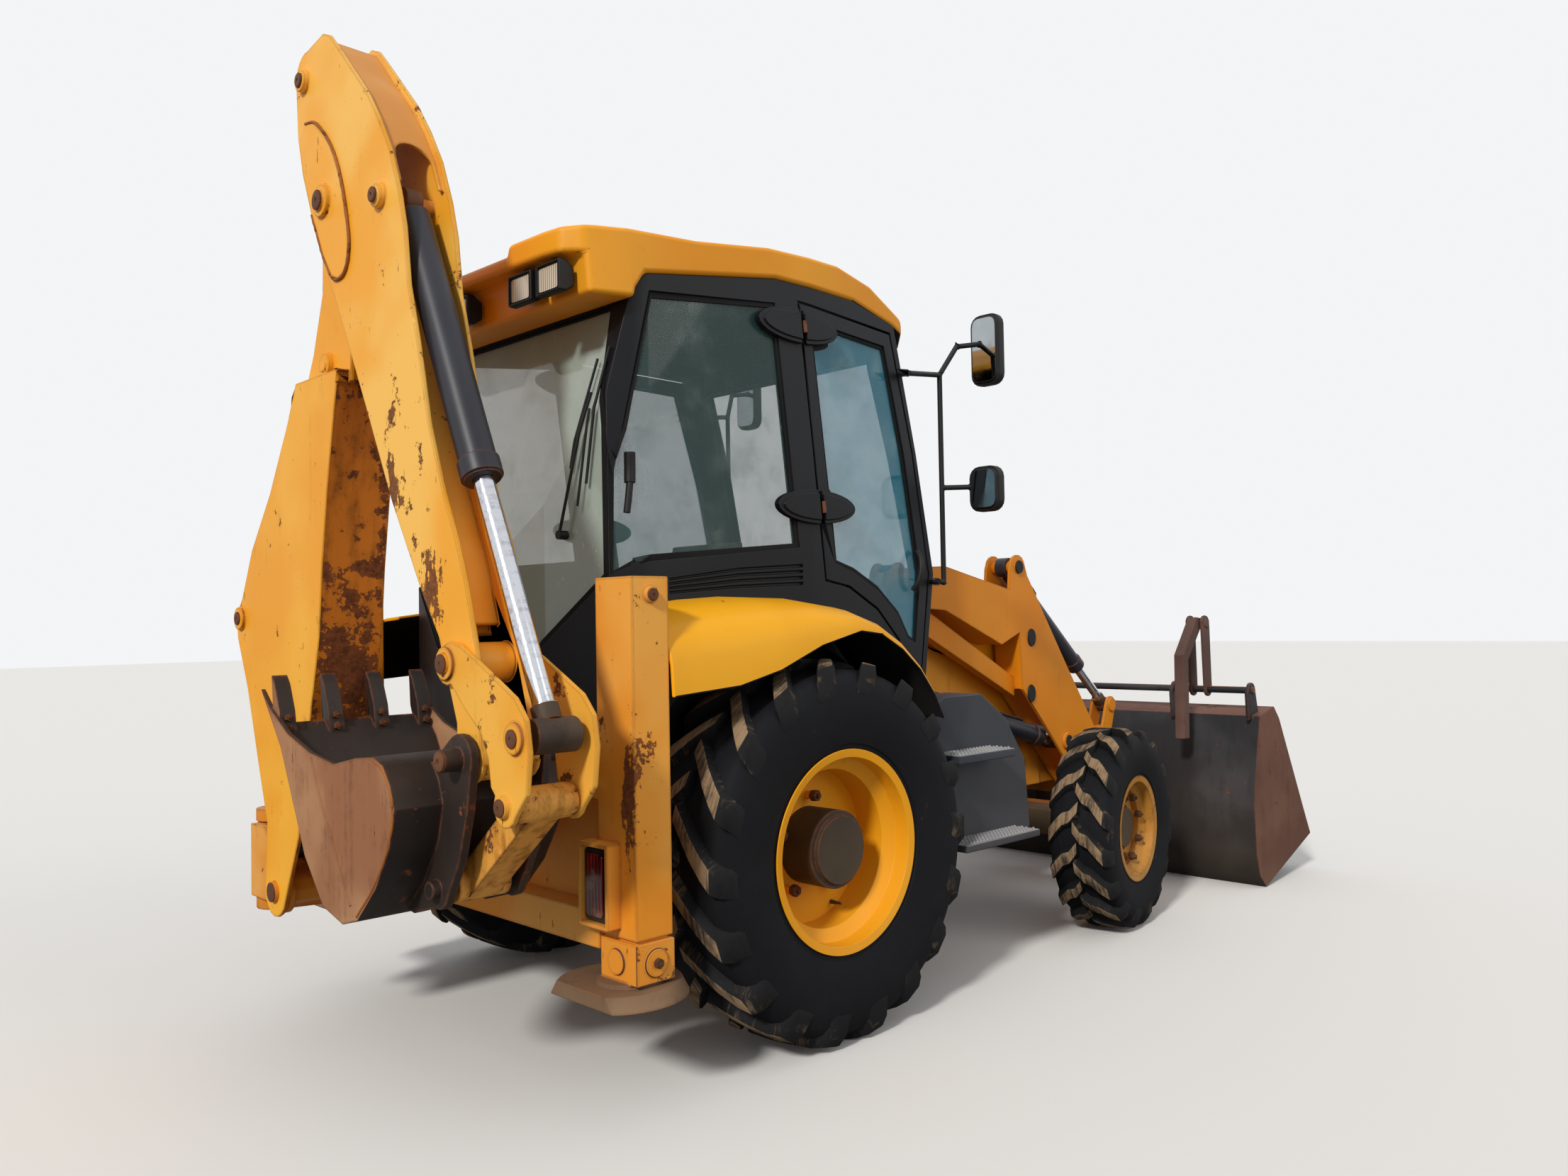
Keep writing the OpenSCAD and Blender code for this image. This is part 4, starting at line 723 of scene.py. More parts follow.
for name, run_x, run_y in [("rear", -1, 0), ("front", 1, 0), ("left", 0, 1), ("right", 0, -1)]:
    pane_seal(
        "seal_" + name, "cab_glass",
        lambda at, facing: facing.x * run_x + facing.y * run_y > 0.5 and abs(facing.z) < 0.6,
        0.024, 0.007, "machine",
    )


def on_pane(at, depth):
    """Whether a place lies so deep inside the door's outer surface: the cab narrows forwards."""
    cab_taper = 80 / 900
    return abs(0.78 - cab_taper * max(0, at.x - 0.2) - abs(at.y) - depth) < 0.0015


# How deep the outer and inner side of the glass lie
pane_outside, pane_inside = 0.014, 0.020
for side, out in side_out.items():
    node = "door_" + side
    marked(
        skin(node, 0.003, cab_black_sky_tint), door_painted_sky,
        lambda at, facing: 0.2 < at.x < 1.0 and (
            facing.y * out > 0.9 and on_pane(at, pane_outside)
            or facing.y * out < -0.9 and on_pane(at, pane_inside)
        ),
    )
    pane_seal(
        "door_seal_" + side, node, lambda at, facing: facing.y * out > 0.9 and on_pane(at, pane_outside),
        0.020, 0.006, node,
    )


def tube(name, path, radius, finish, body=None, like="mirrors", soft=False):
    """A round bar or pipe through a row of places, with sharp bends or in one soft line."""
    line = bpy.data.curves.new(name, "CURVE")
    line.dimensions = "3D"
    line.bevel_depth = radius
    line.bevel_resolution = 3
    line.resolution_u = 6
    line.use_fill_caps = True
    run = line.splines.new("BEZIER" if soft else "POLY")
    knots = run.bezier_points if soft else run.points
    knots.add(len(path) - 1)
    for knot, place in zip(knots, path):
        knot.co = place if soft else (*place, 1)
        if soft:
            knot.handle_left_type = "AUTO"
            knot.handle_right_type = "AUTO"
    take(placed(name, line))
    bpy.ops.object.convert(target="MESH")
    piece = coated(bpy.context.object, finish)
    smooth(50)
    if body:
        settle(piece, body, like)
    return piece


def plate(name, outline, lift, finish, radius=0.002):
    """A flat plate with a given outline of places, as thick as the lift, its edges rounded."""
    alone()
    bpy.ops.mesh.primitive_circle_add(vertices=len(outline), radius=1, fill_type="NGON")
    piece = coated(named(name), finish)
    for point, place in zip(piece.data.vertices, outline):
        point.co = place
    edit()
    bpy.ops.mesh.extrude_region_move(TRANSFORM_OT_translate={"value": lift})
    bpy.ops.mesh.select_all(action="SELECT")
    bpy.ops.mesh.normals_make_consistent(inside=False)
    leave_edit()
    rounded(piece, radius, 40)
    return piece


def rear_pane(left, up, out=0.0):
    """A place on the rear glass, so far out from it: its top leans in and its corners turn back."""
    sloped = -0.85 + (up - 2.1) * 0.15 / 0.7 if up > 2.1 else -0.905 + (up - 1.78) * 0.055 / 0.32
    aside = abs(left)
    cornered = -0.86 + (aside - 0.4) * 0.08 / 0.3 if aside > 0.4 else -0.905 + aside * 0.045 / 0.4
    return spot(max(sloped, cornered) + 0.012 - out, left, up)


wiper_black = sprayed("wiper_black", (16, 16, 17), (30, 29, 28), 0.05, 0.3, 0.3, gloss=0.5, shine=0.3)
wipers = [
    tube(name, [rear_pane(left + aside * i, up + rise * i, out) for i in range(count)], thick, wiper_black)
    for name, left, aside, up, rise, out, count, thick in [
        ("wiper_arm", -0.50, -0.0192, 1.92, 0.073, 0.030, 8, 0.006),
        ("wiper_arm_short", -0.585, -0.008, 2.02, 0.05, 0.030, 8, 0.005),
        ("wiper_blade", -0.615, -0.008, 2.10, 0.055, 0.020, 10, 0.0055),
        ("wiper_blade_short", -0.545, -0.010, 2.16, 0.05, 0.020, 9, 0.005),
    ]
]
pivot = [rear_pane(-0.50, 1.92, out) for out in (-0.002, 0.036)]
wipers.append(tube("wiper_pivot", pivot, 0.017, wiper_black))
settle(together("wipers", wipers))

mask_black = sprayed("mask_black", (30, 38, 36), (36, 44, 42), 0.0, 0.1, 0.1, gloss=0.5, shine=0.2)
for i, line in enumerate([
    [(-0.03, 2.752), (-0.11, 2.722), (-0.18, 2.752)],
    [(-0.44, 2.752), (-0.50, 2.735), (-0.57, 2.742), (-0.61, 2.722), (-0.655, 2.752)],
    [(0.64, 2.752), (0.60, 2.722), (0.56, 2.742), (0.50, 2.735), (0.44, 2.752)],
]):
    outline = [rear_pane(left, up, -0.010) for left, up in line]
    settle(plate("sun_mask_" + str(i), outline, (0.0015, 0, 0), mask_black, 0.0004))

latch = [
    tube(name, [spot(*place) for place in path], thick, wiper_black, soft=True)
    for name, thick, path in [
        ("latch_bar", 0.013, [(-0.727, -0.744, 1.99), (-0.715, -0.742, 2.06), (-0.705, -0.738, 2.12)]),
        ("latch_grip", 0.021, [(-0.706, -0.736, 2.10), (-0.703, -0.733, 2.15), (-0.704, -0.735, 2.21)]),
    ]
]
settle(together("window_latch", latch))
rusty_knuckle = sprayed("rusty_knuckle", (92, 56, 38), (120, 82, 58), 0.5, 0.5, 0.1, gloss=0.6)
for side, out in side_out.items():
    for i, (forward, up) in enumerate([(0.149, 2.792), (0.243, 2.058)]):
        ends = [spot(forward - s * 0.003, out * 0.802, up + s * 0.024) for s in (-1, 1)]
        tube("hinge_pin_" + side + str(i), ends, 0.009, rusty_knuckle, "machine", "axles")
    bends = [(0.905, 0.722, 1.72), (0.915, 0.748, 1.76), (0.935, 0.748, 1.86), (0.945, 0.720, 1.90)]
    handle = [spot(forward, out * left, up) for forward, left, up in bends]
    tube("door_handle_" + side, handle, 0.012, wiper_black, "door_" + side, soft=True)

# Roof
# One moulded yellow shell with a deep rolled visor behind, a dark headliner under it, and a small
# black aerial foot at its front edge.
roof_paint = sprayed("roof_paint", (234, 150, 16), (240, 164, 36), 0.05, 0.3, 0.05, 23.0, 0.42)
headliner = sprayed("headliner", (44, 43, 40), (58, 56, 52), 0.0, 0.3, 0.2, gloss=0.9, shine=0.1)
visor_start, half_inside = -0.70, 0.745
marked(
    skin("cab_roof", 0.020, roof_paint, 28, 4), headliner,
    lambda at, facing: facing.z < -0.6 and at.x > visor_start and abs(at.y) < half_inside,
)
aerial = [
    tube(name, [spot(forward, -0.10, up) for forward, up in path], thick, wiper_black)
    for name, thick, path in [
        ("aerial_foot", 0.016, [(0.93, 2.935), (0.94, 2.955)]),
        ("aerial_stub", 0.006, [(0.94, 2.95), (0.955, 2.985), (0.94, 3.01)]),
    ]
]
settle(together("aerial", aerial))

# Inside the cab
# A seat turned to the tail with sewn channels in its grey cover, on a black pedestal, and levers
# with black knobs on the front console beside the wheel.
cab_trim = sprayed("cab_trim", (38, 39, 41), (52, 52, 53), 0.0, 0.4, 0.3, gloss=0.65, shine=0.2)
floor_top = 1.0853
plain_seat_from = floor_top + 0.2395
keep_faces(
    skin("cab_interior", 0.006, cab_trim),
    lambda at, facing: not (-0.13 < at.x < 0.345 and abs(at.y) < 0.26 and at.z > plain_seat_from),
)
seat_cover, shader, start = new_finish("seat_cover")
threads = start.node(
    "ShaderNodeTexWave", {"wave_type": "BANDS", "bands_direction": "Z"},
    {"Vector": on_part(start), "Scale": 150.0, "Distortion": 0.4},
)
rubbed = cloud(on_part(start), 5.0, 4.0)
connect(shader, {
    "Base Color": blend(start, screen(72, 80, 78), screen(116, 124, 118), rubbed.between(0.4, 0.65)),
    "Roughness": 0.85 + rubbed * 0.1,
    "Normal": relief(threads, 0.4, 0.001),
    "Specular IOR Level": 0.15,
})


def cushion(name, low, high, ribs, thin):
    """A padded form between two corners: crowned faces, drawn-in edges, sewn channels across it."""
    alone()
    bpy.ops.mesh.primitive_cube_add(size=2)
    pad = coated(named(name), seat_cover)
    edit()
    bpy.ops.mesh.subdivide(number_cuts=23)
    leave_edit()
    middle = (low + high) / 2
    half = (high - low) / 2
    sides = [i for i in range(3) if i != thin]
    for point in pad.data.vertices:
        place = point.co.copy()
        first, second = [abs(place[i]) for i in sides]
        drawn = 1 - 0.06 * abs(place[thin]) ** 4 * max(first, second) ** 2
        crown = (1 - first ** 3.5 * 0.45) * (1 - second ** 3.5 * 0.45)
        channel = abs(math.sin(math.pi * ribs * (place.y + 1) / 2)) ** 0.45
        for i in sides:
            place[i] = place[i] * drawn
        place[thin] = place[thin] * crown * (0.80 + 0.20 * channel)
        point.co = [middle[i] + place[i] * half[i] for i in range(3)]
    softer = pad.modifiers.new("softer", "SUBSURF")
    softer.levels = 1
    softer.render_levels = 1
    apply_all(pad)
    bpy.ops.object.shade_smooth()
    settle(pad, "machine", "cab_interior")


cushion("seat_back", spot(0.252, -0.24, floor_top + 0.335), spot(0.335, 0.24, 1.95), 9, 0)
cushion("seat_base", spot(-0.12, -0.25, floor_top + 0.24), spot(0.25, 0.25, floor_top + 0.36), 9, 2)
console = 0.70
for i, (left, lean) in enumerate([(0.22, -0.03), (0.27, 0.02), (-0.24, 0.0)]):
    path = [spot(console + 0.06, left, 1.58), spot(console + lean, left, 1.84)]
    stick = tube("lever_" + str(i), path, 0.007, cab_trim)
    section = [(0, 0), (0, 0.014), (0.02, 0.024), (0.045, 0.02), (0.055, 0)]
    knob = coated(lathe("knob_" + str(i), section, 16), wiper_black)
    bpy.ops.object.shade_smooth()
    upright = Matrix.Rotation(math.pi / 2, 4, "X")
    knob.data.transform(towards(spot(console + lean, left, 1.83), (0, 0, 1)) @ upright)
    settle(together("control_" + str(i), [stick, knob]), "machine", "cab_interior")

# Lamps, mirrors and steps
# Square black worklights with pale ribbed lenses, black mirrors on bent bars, and a step of
# moulded plate under each door, whose treads have rows of pressed teeth.
lamp_black = sprayed("lamp_black", (16, 16, 17), (28, 28, 29), 0.0, 0.3, 0.3, gloss=0.5, shine=0.3)


def ribbed_lens(name, colour, shadowed, ribs):
    """Clear plastic, ribbed inside, over a bright reflector, its ribs painted in lit and shaded bands."""
    material, shader, start = new_finish(name)
    rib = start.node(
        "ShaderNodeTexWave", {"wave_type": "BANDS", "bands_direction": "Y"},
        {"Vector": on_part(start), "Scale": ribs, "Distortion": 0.0},
    )
    film = cloud(on_part(start), 14.0, 5.0)
    # Each rib is painted as a lit band and a shaded band.
    tone = blend(start, screen(*shadowed), screen(*colour), rib.between(0.1, 0.8) * 0.8)
    connect(shader, {
        "Base Color": blend(start, tone, road_dust, film.between(0.5, 0.75) * 0.35),
        "Roughness": 0.12 + film * 0.2,
        "Normal": relief(rib, 0.6),
        "Coat Weight": 0.6 + film * 0.2,
    })
    return material


lens_back = -0.964
glass_backs = [(1.325, 1.338), (1.175, 1.185)]
work_lens = ribbed_lens("work_lens", (232, 226, 208), (150, 140, 126), 24.0)
marked(
    skin("lamps", 0.008, lamp_black, 40, 3), work_lens,
    lambda at, facing: facing.x < -0.95 and abs(at.x - lens_back) < 0.002,
)
silvering, shader, start = new_finish("silvering")
smear = cloud(on_part(start), 9.0, 4.0)
connect(shader, {
    "Base Color": blend(start, screen(190, 198, 204), screen(150, 152, 150), smear),
    "Metallic": 1.0,
    "Roughness": 0.04 + smear.between(0.4, 0.8) * 0.15,
})
marked(
    skin("mirrors", 0.005, lamp_black), silvering,
    lambda at, facing: facing.x < -0.98 and any(low < at.x < high for low, high in glass_backs),
)
upper_tread, lower_tread = 1.012, 0.632
step_grey = sprayed("step_grey", (46, 50, 58), (62, 65, 72), 0.0, 0.4, 0.12, 5.0, 0.5, 0.3)
tread_metal = sprayed("tread_metal", (140, 140, 142), (172, 170, 168), 0.1, 0.5, 0.2, 6.0, 0.5)
marked(
    skin("steps", 0.006, step_grey), tread_metal,
    lambda at, facing: facing.z > 0.9 and (
        abs(at.z - upper_tread) < 0.02 or abs(at.z - lower_tread) < 0.02
    ),
)
alone()
bpy.ops.mesh.primitive_cone_add(vertices=4, radius1=0.011, radius2=0.004, depth=0.009)
tooth = coated(named("tread_tooth"), tread_metal)
both = (-1, 1)
teeth = []
for first, last, top in [(0.725, 1.09, upper_tread), (0.765, 1.27, lower_tread)]:
    gaps = round((last - first) / 0.024)
    for out in both:
        for row in range(4):
            for i in range(gaps + 1):
                along = first + (last - first) * (i + 0.5 * (row % 2)) / (gaps + 0.5)
                teeth.append(Matrix.Translation(spot(along, out * (1.003 + 0.031 * row), top + 0.003)))
scattered("tread_teeth", tooth, teeth, "machine", "steps")

# Tail frame and slide
# The backhoe's welded tail frame: two rails between leg boxes, a carriage clamped to the rails and
# a kingpost that turns in it, all sprayed yellow, scraped and stained with rust.
box_scars = [(spot(-1.0, out * 1.085, 1.05), (0.12, 0.05, 0.26)) for out in both]
tail_paint = sprayed("tail_paint", (236, 148, 34), (244, 178, 80), 0.55, 0.5, 0.2, 3.0, scars=box_scars)
skin("tail_frame", 0.004, tail_paint)
skin("carriage", 0.004, sprayed("carriage_paint", (214, 132, 30), (228, 156, 64), 0.7, 0.9, 0.3, 5.0))
skin("kingpost", 0.004, sprayed("kingpost_paint", (222, 140, 34), (238, 176, 90), 0.75, 0.8, 0.2, 7.0))
pin_rust = sprayed("pin_rust", (84, 52, 36), (116, 78, 52), 0.6, 0.6, 0.1, 9.0, 0.6)
tail_bezel = sprayed("tail_bezel", (22, 18, 18), (36, 28, 26), 0.1, 0.4, 0.3, gloss=0.5, shine=0.3)
tail_red = ribbed_lens("tail_red", (120, 14, 16), (36, 4, 6), 18.0)
for side, out in side_out.items():
    for name, back, lift, finish, radius, like, corners in [
        ("tail_lamp_bezel_", -1.019, -0.012, tail_bezel, 0.003, "mirrors", [
            (0.889, 0.635), (0.903, 0.624), (0.997, 0.624), (1.011, 0.635),
            (1.011, 0.850), (0.997, 0.861), (0.903, 0.861), (0.889, 0.850)]),
        ("tail_lamp_lens_", -1.030, -0.010, tail_red, 0.006, "lamps", [
            (0.903, 0.652), (0.912, 0.640), (0.988, 0.640), (0.997, 0.652),
            (0.997, 0.834), (0.988, 0.845), (0.912, 0.845), (0.903, 0.834)]),
    ]:
        outline = [spot(back, out * left, up) for left, up in corners]
        settle(plate(name + side, outline, (lift, 0, 0), finish, radius), "machine", like)


def pins(name, radius, proud, places, body):
    """The ends of pins as they show in their collars, each facing along its run: turned,
    chamfered and drilled for grease."""
    section = [
        (0, 0), (0, radius), (proud * 0.7, radius), (proud, radius * 0.86), (proud, radius * 0.24),
        (proud * 0.6, radius * 0.20), (proud * 0.6, 0),
    ]
    end = coated(lathe(name, section, 28), pin_rust)
    end.data.transform(Matrix.Rotation(math.pi / 2, 4, "X"))
    smooth(30)
    scattered(name, end, [towards(place, run) for place, run in places], body)


slew_forward, slew_left = -1.4, 0.7


def behind(left, up, forward=0.0):
    """A place on the backhoe, counted from its slewing pin and the ground."""
    return spot(slew_forward + forward, slew_left + left, up)


def pin_through(body, name, radius, proud, left, up, half):
    """Both ends of a pin that lies across the backhoe."""
    pins(name, radius, proud, [(behind(left, up, s * half), (s, 0, 0)) for s in both], body)


leg_back = -0.915
leg_pins = [(spot(leg_back, out * 1.1235, 1.685), (0, out, 0)) for out in both]
pins("leg_pins", 0.021, 0.007, leg_pins, "machine")
pin_through("kingpost", "king_pins", 0.037, 0.004, -0.27, 0.60, 0.1335)

# Legs and pads
# Square tubes that slide down out of the leg boxes, each with a collar and a round pad of thick
# plate at its foot, its paint scratched through along one corner.
corner_scars = [
    (spot(-1.0, out * aside, up), reach) for out in both
    for aside, up, reach in [(1.075, 1.02, (0.12, 0.055, 0.24)), (1.06, 0.66, (0.14, 0.09, 0.12))]
]
leg_paint = sprayed("leg_paint", (236, 150, 40), (244, 178, 84), 0.9, 0.5, 0.2, 11.0, scars=corner_scars)
pad_steel = sprayed("pad_steel", (104, 78, 58), (134, 106, 80), 0.5, 0.7, 0.3, 13.0, 0.7)
pad_top = 0.436


def plug_side(at, facing):
    """The round sides of the two plugs on each leg, one facing out and one facing back."""
    return 0.44 < at.z < 0.56 and (
        1.1105 < abs(at.y) < 1.1215 and abs(facing.y) < 0.9
        or -1.0015 < at.x < -0.9905 and abs(facing.x) < 0.9
    )


for side, out in side_out.items():
    node = "stabiliser_" + side
    leg = skin(node, 0.005, leg_paint)
    marked(leg, pad_steel, lambda at, facing: at.z < pad_top)
    marked(leg, pin_rust, plug_side)
    nut = hex_nut(node + "_nut", 0.030, 0.014)
    scattered(node + "_nut", nut, [towards(spot(leg_back, out * 1.1215, 0.499), (0, out, 0))], node)

# Boom
# Two welded side plates joined by a belly sheet, yellow over old rust, with a narrower head that
# enters the dipper. Its lower face is scraped black.
boom_paint = sprayed("boom_paint", (240, 160, 20), (248, 182, 54), 0.55, 0.4, 0.0, 37.0, 0.40)
belly_scars = [(behind(-0.35, 1.40), (0.3, 1.4, 0.62)), (behind(-0.35, 2.05, 0.10), (0.05, 1.4, 0.5))]
belly_paint = sprayed(
    "belly_paint", (214, 122, 30), (196, 110, 32), 1.2, 1.2, 0.0, 41.0, 0.5, scars=belly_scars
)
belly_top = 2.5
marked(
    skin("boom", 0.004, boom_paint), belly_paint,
    lambda at, facing: abs(facing.x) < 0.3 and facing.y < -0.5 and at.z < belly_top,
)
pin_through("boom", "boom_pins", 0.026, 0.006, 0.045, 1.639, 0.1365)

# Dipper
# Two long plates closed by sheets at their edges, open in front where the bucket's ram lies in a
# trough. Doubler plates are welded round its pivot, and tall collars hold the pins.
foot_scars = [
    (behind(-1.45, 1.72, -0.1), (0.05, 0.11, 0.13)), (behind(-1.20, 2.02, -0.1), (0.05, 0.05, 0.24)),
]
# The dipper's pale second tone is partly bleached paint and partly painted sunlight.
dipper_paint = sprayed(
    "dipper_paint", (246, 168, 34), (252, 198, 92), 0.7, 0.3, 0.0, 31.0, 0.38, scars=foot_scars
)
head_paint = sprayed("head_paint", (206, 138, 62), (222, 164, 96), 0.25, 0.3, 0.3, 33.0, 0.5)
head_start, half_head_sheet = 3.0, 0.08
marked(
    skin("dipper", 0.004, dipper_paint), head_paint,
    lambda at, facing: abs(facing.x) < 0.3 and at.z > head_start
    and abs(at.x - slew_forward) < half_head_sheet,
)
weld_rust = sprayed("weld_rust", (186, 118, 52), (150, 92, 50), 1.1, 0.9, 0.0, 43.0, 0.6)
doubler_out = 0.1055
bead_line = [
    (-560, 3452), (-629, 3438), (-700, 3386), (-761, 3323), (-812, 3250), (-850, 3168), (-880, 3080),
    (-901, 2995), (-910, 2945), (-908, 2906), (-899, 2870), (-881, 2841), (-855, 2825), (-826, 2821),
    (-797, 2824), (-772, 2840), (-740, 2880), (-706, 2925), (-660, 3010), (-610, 3100),
]
for side, s in [("right", -1), ("left", 1)]:
    path = [behind(left / 1000, up / 1000, s * doubler_out) for left, up in bead_line]
    bead = tube("doubler_weld_" + side, path, 0.006, weld_rust, "dipper", "dipper", soft=True)
    for point in bead.data.vertices:
        point.co.x += s * 0.0009 * math.sin(430 * (point.co.y + point.co.z))
for name, radius, proud, left, up, half in [
    ("head_pins", 0.036, 0.006, -0.710, 3.125, 0.130),
    ("tail_pins", 0.027, 0.008, -0.543, 3.617, 0.122),
    ("ram_pins", 0.026, 0.008, -1.140, 3.030, 0.128),
    ("lever_pins", 0.030, 0.006, -1.586, 1.480, 0.140),
]:
    pin_through("dipper", name, radius, proud, left, up, half)

# Rams of the backhoe
# Black steel barrels, tinted faintly blue as a painted sheen of the sky, with screwed glands and
# chromed rods with oil on them, each rod ending in a welded eye. A steel pipe runs along each barrel
# to its gland end.
# The barrels' black is tinted faintly blue: a painted sheen of the sky on it.
ram_paint = sprayed("ram_paint", (30, 31, 40), (44, 45, 54), 0.35, 0.35, 0.1, 2.0, 0.38, 0.4)
ram_tail = sprayed("ram_tail", (120, 84, 56), (96, 62, 42), 1.0, 0.9, 0.1, 4.0, 0.55)
eye_iron = sprayed("eye_iron", (62, 50, 40), (96, 76, 58), 0.7, 0.9, 0.2, 8.0, 0.55)
hard_chrome, shader, start = new_finish("hard_chrome")
oil = cloud(on_part(start, (1, 9, 9)), 6.0, 5.0)
dull = cloud(on_part(start), 30.0, 4.0).between(0.66, 0.72)
oiled = blend(start, screen(214, 216, 222), screen(150, 152, 158), oil.between(0.45, 0.7) * 0.6)
connect(shader, {
    "Base Color": blend(start, oiled, rust_light, dull * 0.6),
    "Metallic": 1.0 - dull * 0.7,
    "Roughness": 0.10 + oil.between(0.4, 0.7) * 0.16 + dull * 0.4,
})


def along_barrel(tail, heading, beside, radius, steps):
    """Places beside a barrel, each so far from its tail and so far off its skin."""
    return [tail + heading * far + beside * (radius + off) for far, off in steps]


eye_reach, tail_end = 0.093, 0.26
for name, low, high, radius, length in [
    ("boom_ram", (-0.180, 0.740), (0.045, 1.639), 0.050, 0.75),
    ("dipper_ram", (-0.675, 2.543), (-0.543, 3.617), 0.042, 0.55),
    ("dig_ram", (-1.140, 3.030), (-1.965, 1.276), 0.060, 1.03),
]:
    marked(
        skin(name + "_rod", 0.0025, hard_chrome), eye_iron,
        lambda at, facing: math.hypot(at.y - slew_left - high[0], at.z - high[1]) < eye_reach,
    )
    node = name + "_barrel"
    barrel = skin(node, 0.003, ram_paint)
    tail = behind(*low)
    heading = (behind(*high) - tail).normalized()
    beside = heading.cross(Vector((1, 0, 0))).normalized()
    if name == "dig_ram":
        marked(barrel, ram_tail, lambda at, facing: (at + spot(0, 0, 0) - tail).dot(heading) < tail_end)
        beside = -beside
    line = along_barrel(tail, heading, beside, radius, [
        (0.10, -0.004), (0.115, 0.013), (0.14, 0.016),
        (length - 0.10, 0.016), (length - 0.07, 0.012), (length - 0.06, -0.004),
    ])
    pipe = tube(node + "_pipe", line, 0.0075, ram_paint)
    half_way = length * 0.5
    corners = [(-0.012, -0.004), (-0.012, 0.026), (0.012, 0.026), (0.012, -0.004)]
    outline = along_barrel(tail, heading, beside, radius, [(half_way + far, off) for far, off in corners])
    clip = plate(node + "_clip", outline, (0.022, 0, 0), ram_paint)
    clip.data.transform(Matrix.Translation((-0.011, 0, 0)))
    settle(together(node + "_pipework", [pipe, clip]), node, node)

# Tipping lever and link
# Two boomerang plates outside the dipper, joined by a tube at the link's pin, and a tapered link
# down to the bucket, yellow with dark smears of grease.
lever_paint = sprayed("lever_paint", (238, 158, 34), (248, 188, 78), 0.8, 0.5, 0.0, 47.0, 0.42)
collars = [(-1.965, 1.276), (-1.586, 1.480)]
marked(
    skin("dig_lever", 0.004, lever_paint), weld_rust,
    lambda at, facing: abs(facing.x) < 0.7 and abs(at.x - slew_forward) > 0.1215 and any(
        0.034 < math.hypot(at.y - slew_left - left, at.z - up) < 0.0515 for left, up in collars
    ),
)
pin_through("dig_lever", "rod_pins", 0.027, 0.007, -1.965, 1.276, 0.1328)
pin_through("dig_lever", "link_pins", 0.026, 0.006, -1.904, 1.078, 0.1370)
skin("dig_link", 0.005, sprayed("link_paint", (224, 144, 44), (240, 176, 84), 0.9, 1.3, 0.0, 53.0, 0.45))

# Digging bucket
# Brown side plates with a wrapped back painted nearly black, partly worn dark steel and partly
# painted shade on its unlit side, four horned teeth bolted to the cutting edge, and ears for the
# dipper and the link.
side_rust = sprayed("side_rust", (150, 100, 68), (192, 148, 108), 0.75, 0.9, 0.35, 61.0, 0.68, 0.3)
# The wrap's near-black is partly its worn steel and partly painted shade.
wrap_iron_and_shade = sprayed("wrap_iron_and_shade", (34, 28, 26), (54, 42, 36), 0.7, 0.8, 0.1, 63.0, 0.45, 0.4)
side_from, weld_out = 0.265, 0.294
marked(
    skin("dig_bucket", 0.003, wrap_iron_and_shade), side_rust,
    lambda at, facing: abs(facing.x) > 0.85 and abs(at.x - slew_forward) > side_from,
)
welds = []
for s in both:
    for name, radius, finish, line in [
        ("crease", 0.006, side_rust, [(-1.30, 0.74), (-1.17, 0.93), (-1.08, 1.06), (-1.02, 1.175)]),
        ("rim_weld", 0.005, weld_rust, [
            (-1.46, 1.195), (-1.515, 1.174), (-1.553, 1.13), (-1.578, 1.06), (-1.549, 0.955),
            (-1.46, 0.825), (-1.34, 0.712)]),
    ]:
        path = [behind(left, up, s * weld_out) for left, up in line]
        welds.append(tube(name, path, radius, finish, soft=True))
settle(together("bucket_welds", welds), "dig_bucket", "dig_bucket")
first_tooth, tooth_pitch = -0.255, 0.17
bolts = [
    towards(behind(left, up, first_tooth + tooth_pitch * i), run) for i in range(4)
    for left, up, run in [(-0.7435, 1.247, (0, -0.985, 0.17)), (-0.7365, 1.287, (0, -0.985, 0.17)),
                          (-0.690, 1.262, (0, 0.95, -0.3)), (-0.680, 1.285, (0, 0.95, -0.3))]
]
scattered("tooth_bolts", hex_nut("tooth_bolts", 0.024, 0.013), bolts, "dig_bucket")
pin_through("dig_bucket", "ear_pins", 0.030, 0.006, -1.68, 1.20, 0.198)

# Loader arms
# Deep plate arms on each side of the bonnet, closed by sheets, with black oval covers over their
# pins, black rams below and behind, and short levers and links to the bucket in front.
arm_paint = sprayed("arm_paint", (224, 134, 16), (232, 146, 30), 0.2, 0.35, 0.04, 71.0, 0.38)
for node in ["loader_arms", "tip_levers", "tip_links"]:
    skin(node, 0.004, arm_paint)
pin_cover = sprayed("pin_cover", (18, 18, 19), (30, 30, 30), 0.1, 0.4, 0.2, gloss=0.5, shine=0.3)
section = [(0, 0), (0, 0.034), (0.006, 0.036), (0.012, 0.031), (0.014, 0.014), (0.014, 0)]
cover = coated(lathe("arm_covers", section, 28), pin_cover)
cover.data.transform(Matrix.Rotation(math.pi / 2, 4, "X") @ Matrix.Scale(-1, 4, (0, 1, 0)))
cover.data.flip_normals()
smooth(30)
covers = [
    towards(spot(forward, out * aside, up), (0, out, 0)) @ Matrix.Scale(tall, 4, (0, 1, 0)) for out in both
    for forward, up, aside, tall in [
        (2.183, 1.477, 0.5085, 1.35), (2.169, 1.175, 0.5085, 1.35), (2.518, 0.889, 0.5145, 1.0),
        (2.073, 1.859, 0.5125, 1.0), (2.900, 0.520, 0.5085, 1.0),
    ]
]
scattered("arm_covers", cover, covers, "loader_arms", "mirrors")
arm_middle = 0.415
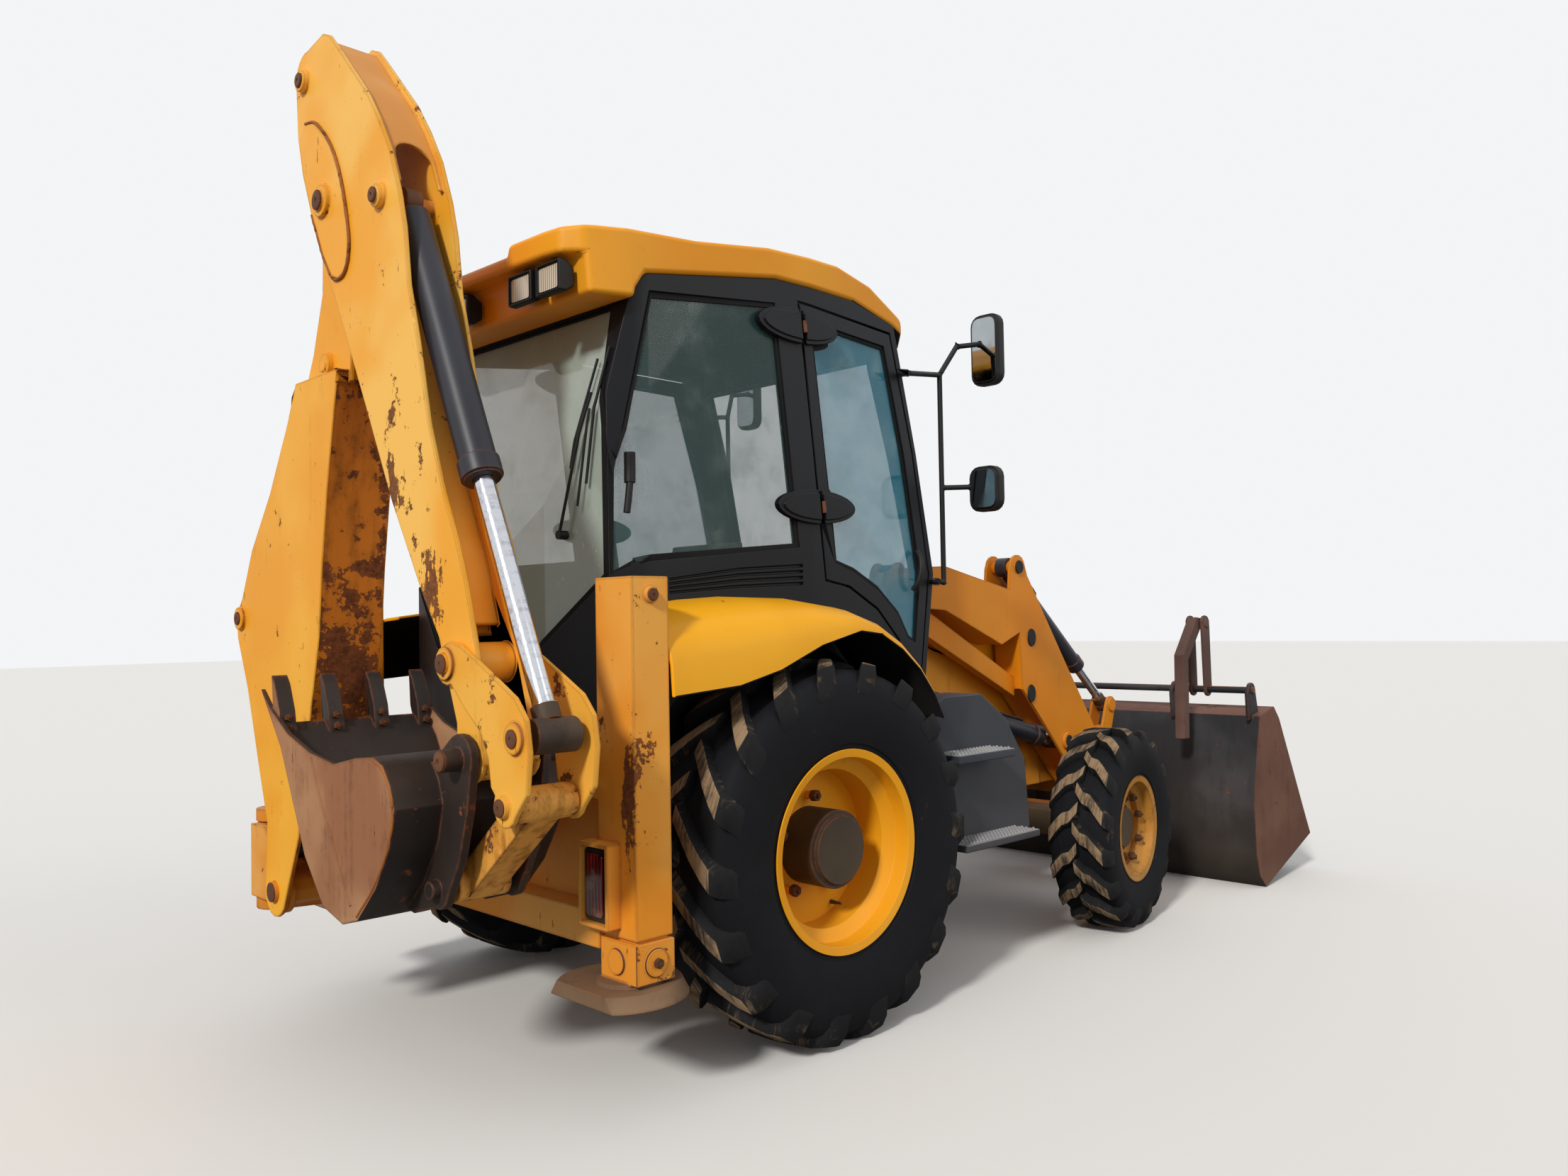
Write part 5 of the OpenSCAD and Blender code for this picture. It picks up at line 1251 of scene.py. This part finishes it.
for name, low, high, radius, length, eye_reach in [
    ("lift_", (1.180, 1.205), (2.518, 0.889), 0.052, 1.15, 0.09),
    ("crowd_", (2.073, 1.859), (3.054, 1.059), 0.045, 0.84, 0.085),
]:
    # These barrels and pipes take the same faintly blue black: a painted sheen of the sky.
    skin(name + "barrels", 0.003, ram_paint)
    marked(
        skin(name + "rods", 0.0025, hard_chrome), eye_iron,
        lambda at, facing: math.hypot(at.x - high[0], at.z - high[1]) < eye_reach,
    )
    pipes = []
    for out in both:
        for over in (-0.017, 0.017):
            tail, end = [spot(x, out * arm_middle + over, z) for x, z in (low, high)]
            heading = (end - tail).normalized()
            above = Vector((0, 1, 0)).cross(heading)
            above = above if above.z > 0 else -above
            stop = length if over > 0 else length * 0.45
            pipes.append(tube("ram_pipe", along_barrel(tail, heading, above, radius, [
                (0.12, -0.006), (0.13, 0.010), (0.16, 0.013),
                (stop - 0.12, 0.013), (stop - 0.09, 0.010), (stop - 0.08, -0.006),
            ]), 0.008, ram_paint))
    settle(together(name + "barrels_pipework", pipes), name + "barrels", name + "barrels")

# Loader bucket and forks
# A wide bucket of dark wrapped sheet with brown rusty sides and lip, and over it a pair of folded
# forks on a round bar, brown all over.
bucket_dark = sprayed("bucket_dark", (32, 33, 37), (58, 60, 66), 0.5, 0.9, 0.12, 81.0, 0.5, 0.35)
bucket_brown = sprayed("bucket_brown", (92, 56, 44), (116, 78, 62), 0.7, 0.8, 0.12, 83.0, 0.62, 0.3)
side_plate_from, top_edge_from, lip_start = 1.14, 0.9, 4.0
marked(
    skin("loader_bucket", 0.004, bucket_dark), bucket_brown,
    lambda at, facing: abs(at.y) > side_plate_from and abs(facing.y) > 0.5
    or facing.z > 0.75 and at.z > top_edge_from or at.x > lip_start,
)
skin("forks", 0.005, sprayed("fork_rust", (84, 62, 56), (112, 88, 80), 0.8, 0.6, 0.05, 87.0, 0.6, 0.3))
lip_places = [towards(spot(4.105, -1.05 + 0.30 * i, 0.2290), (-0.342, 0, 0.94)) for i in range(8)]
scattered("lip_bolts", hex_nut("lip_bolts", 0.030, 0.012), lip_places, "loader_bucket")
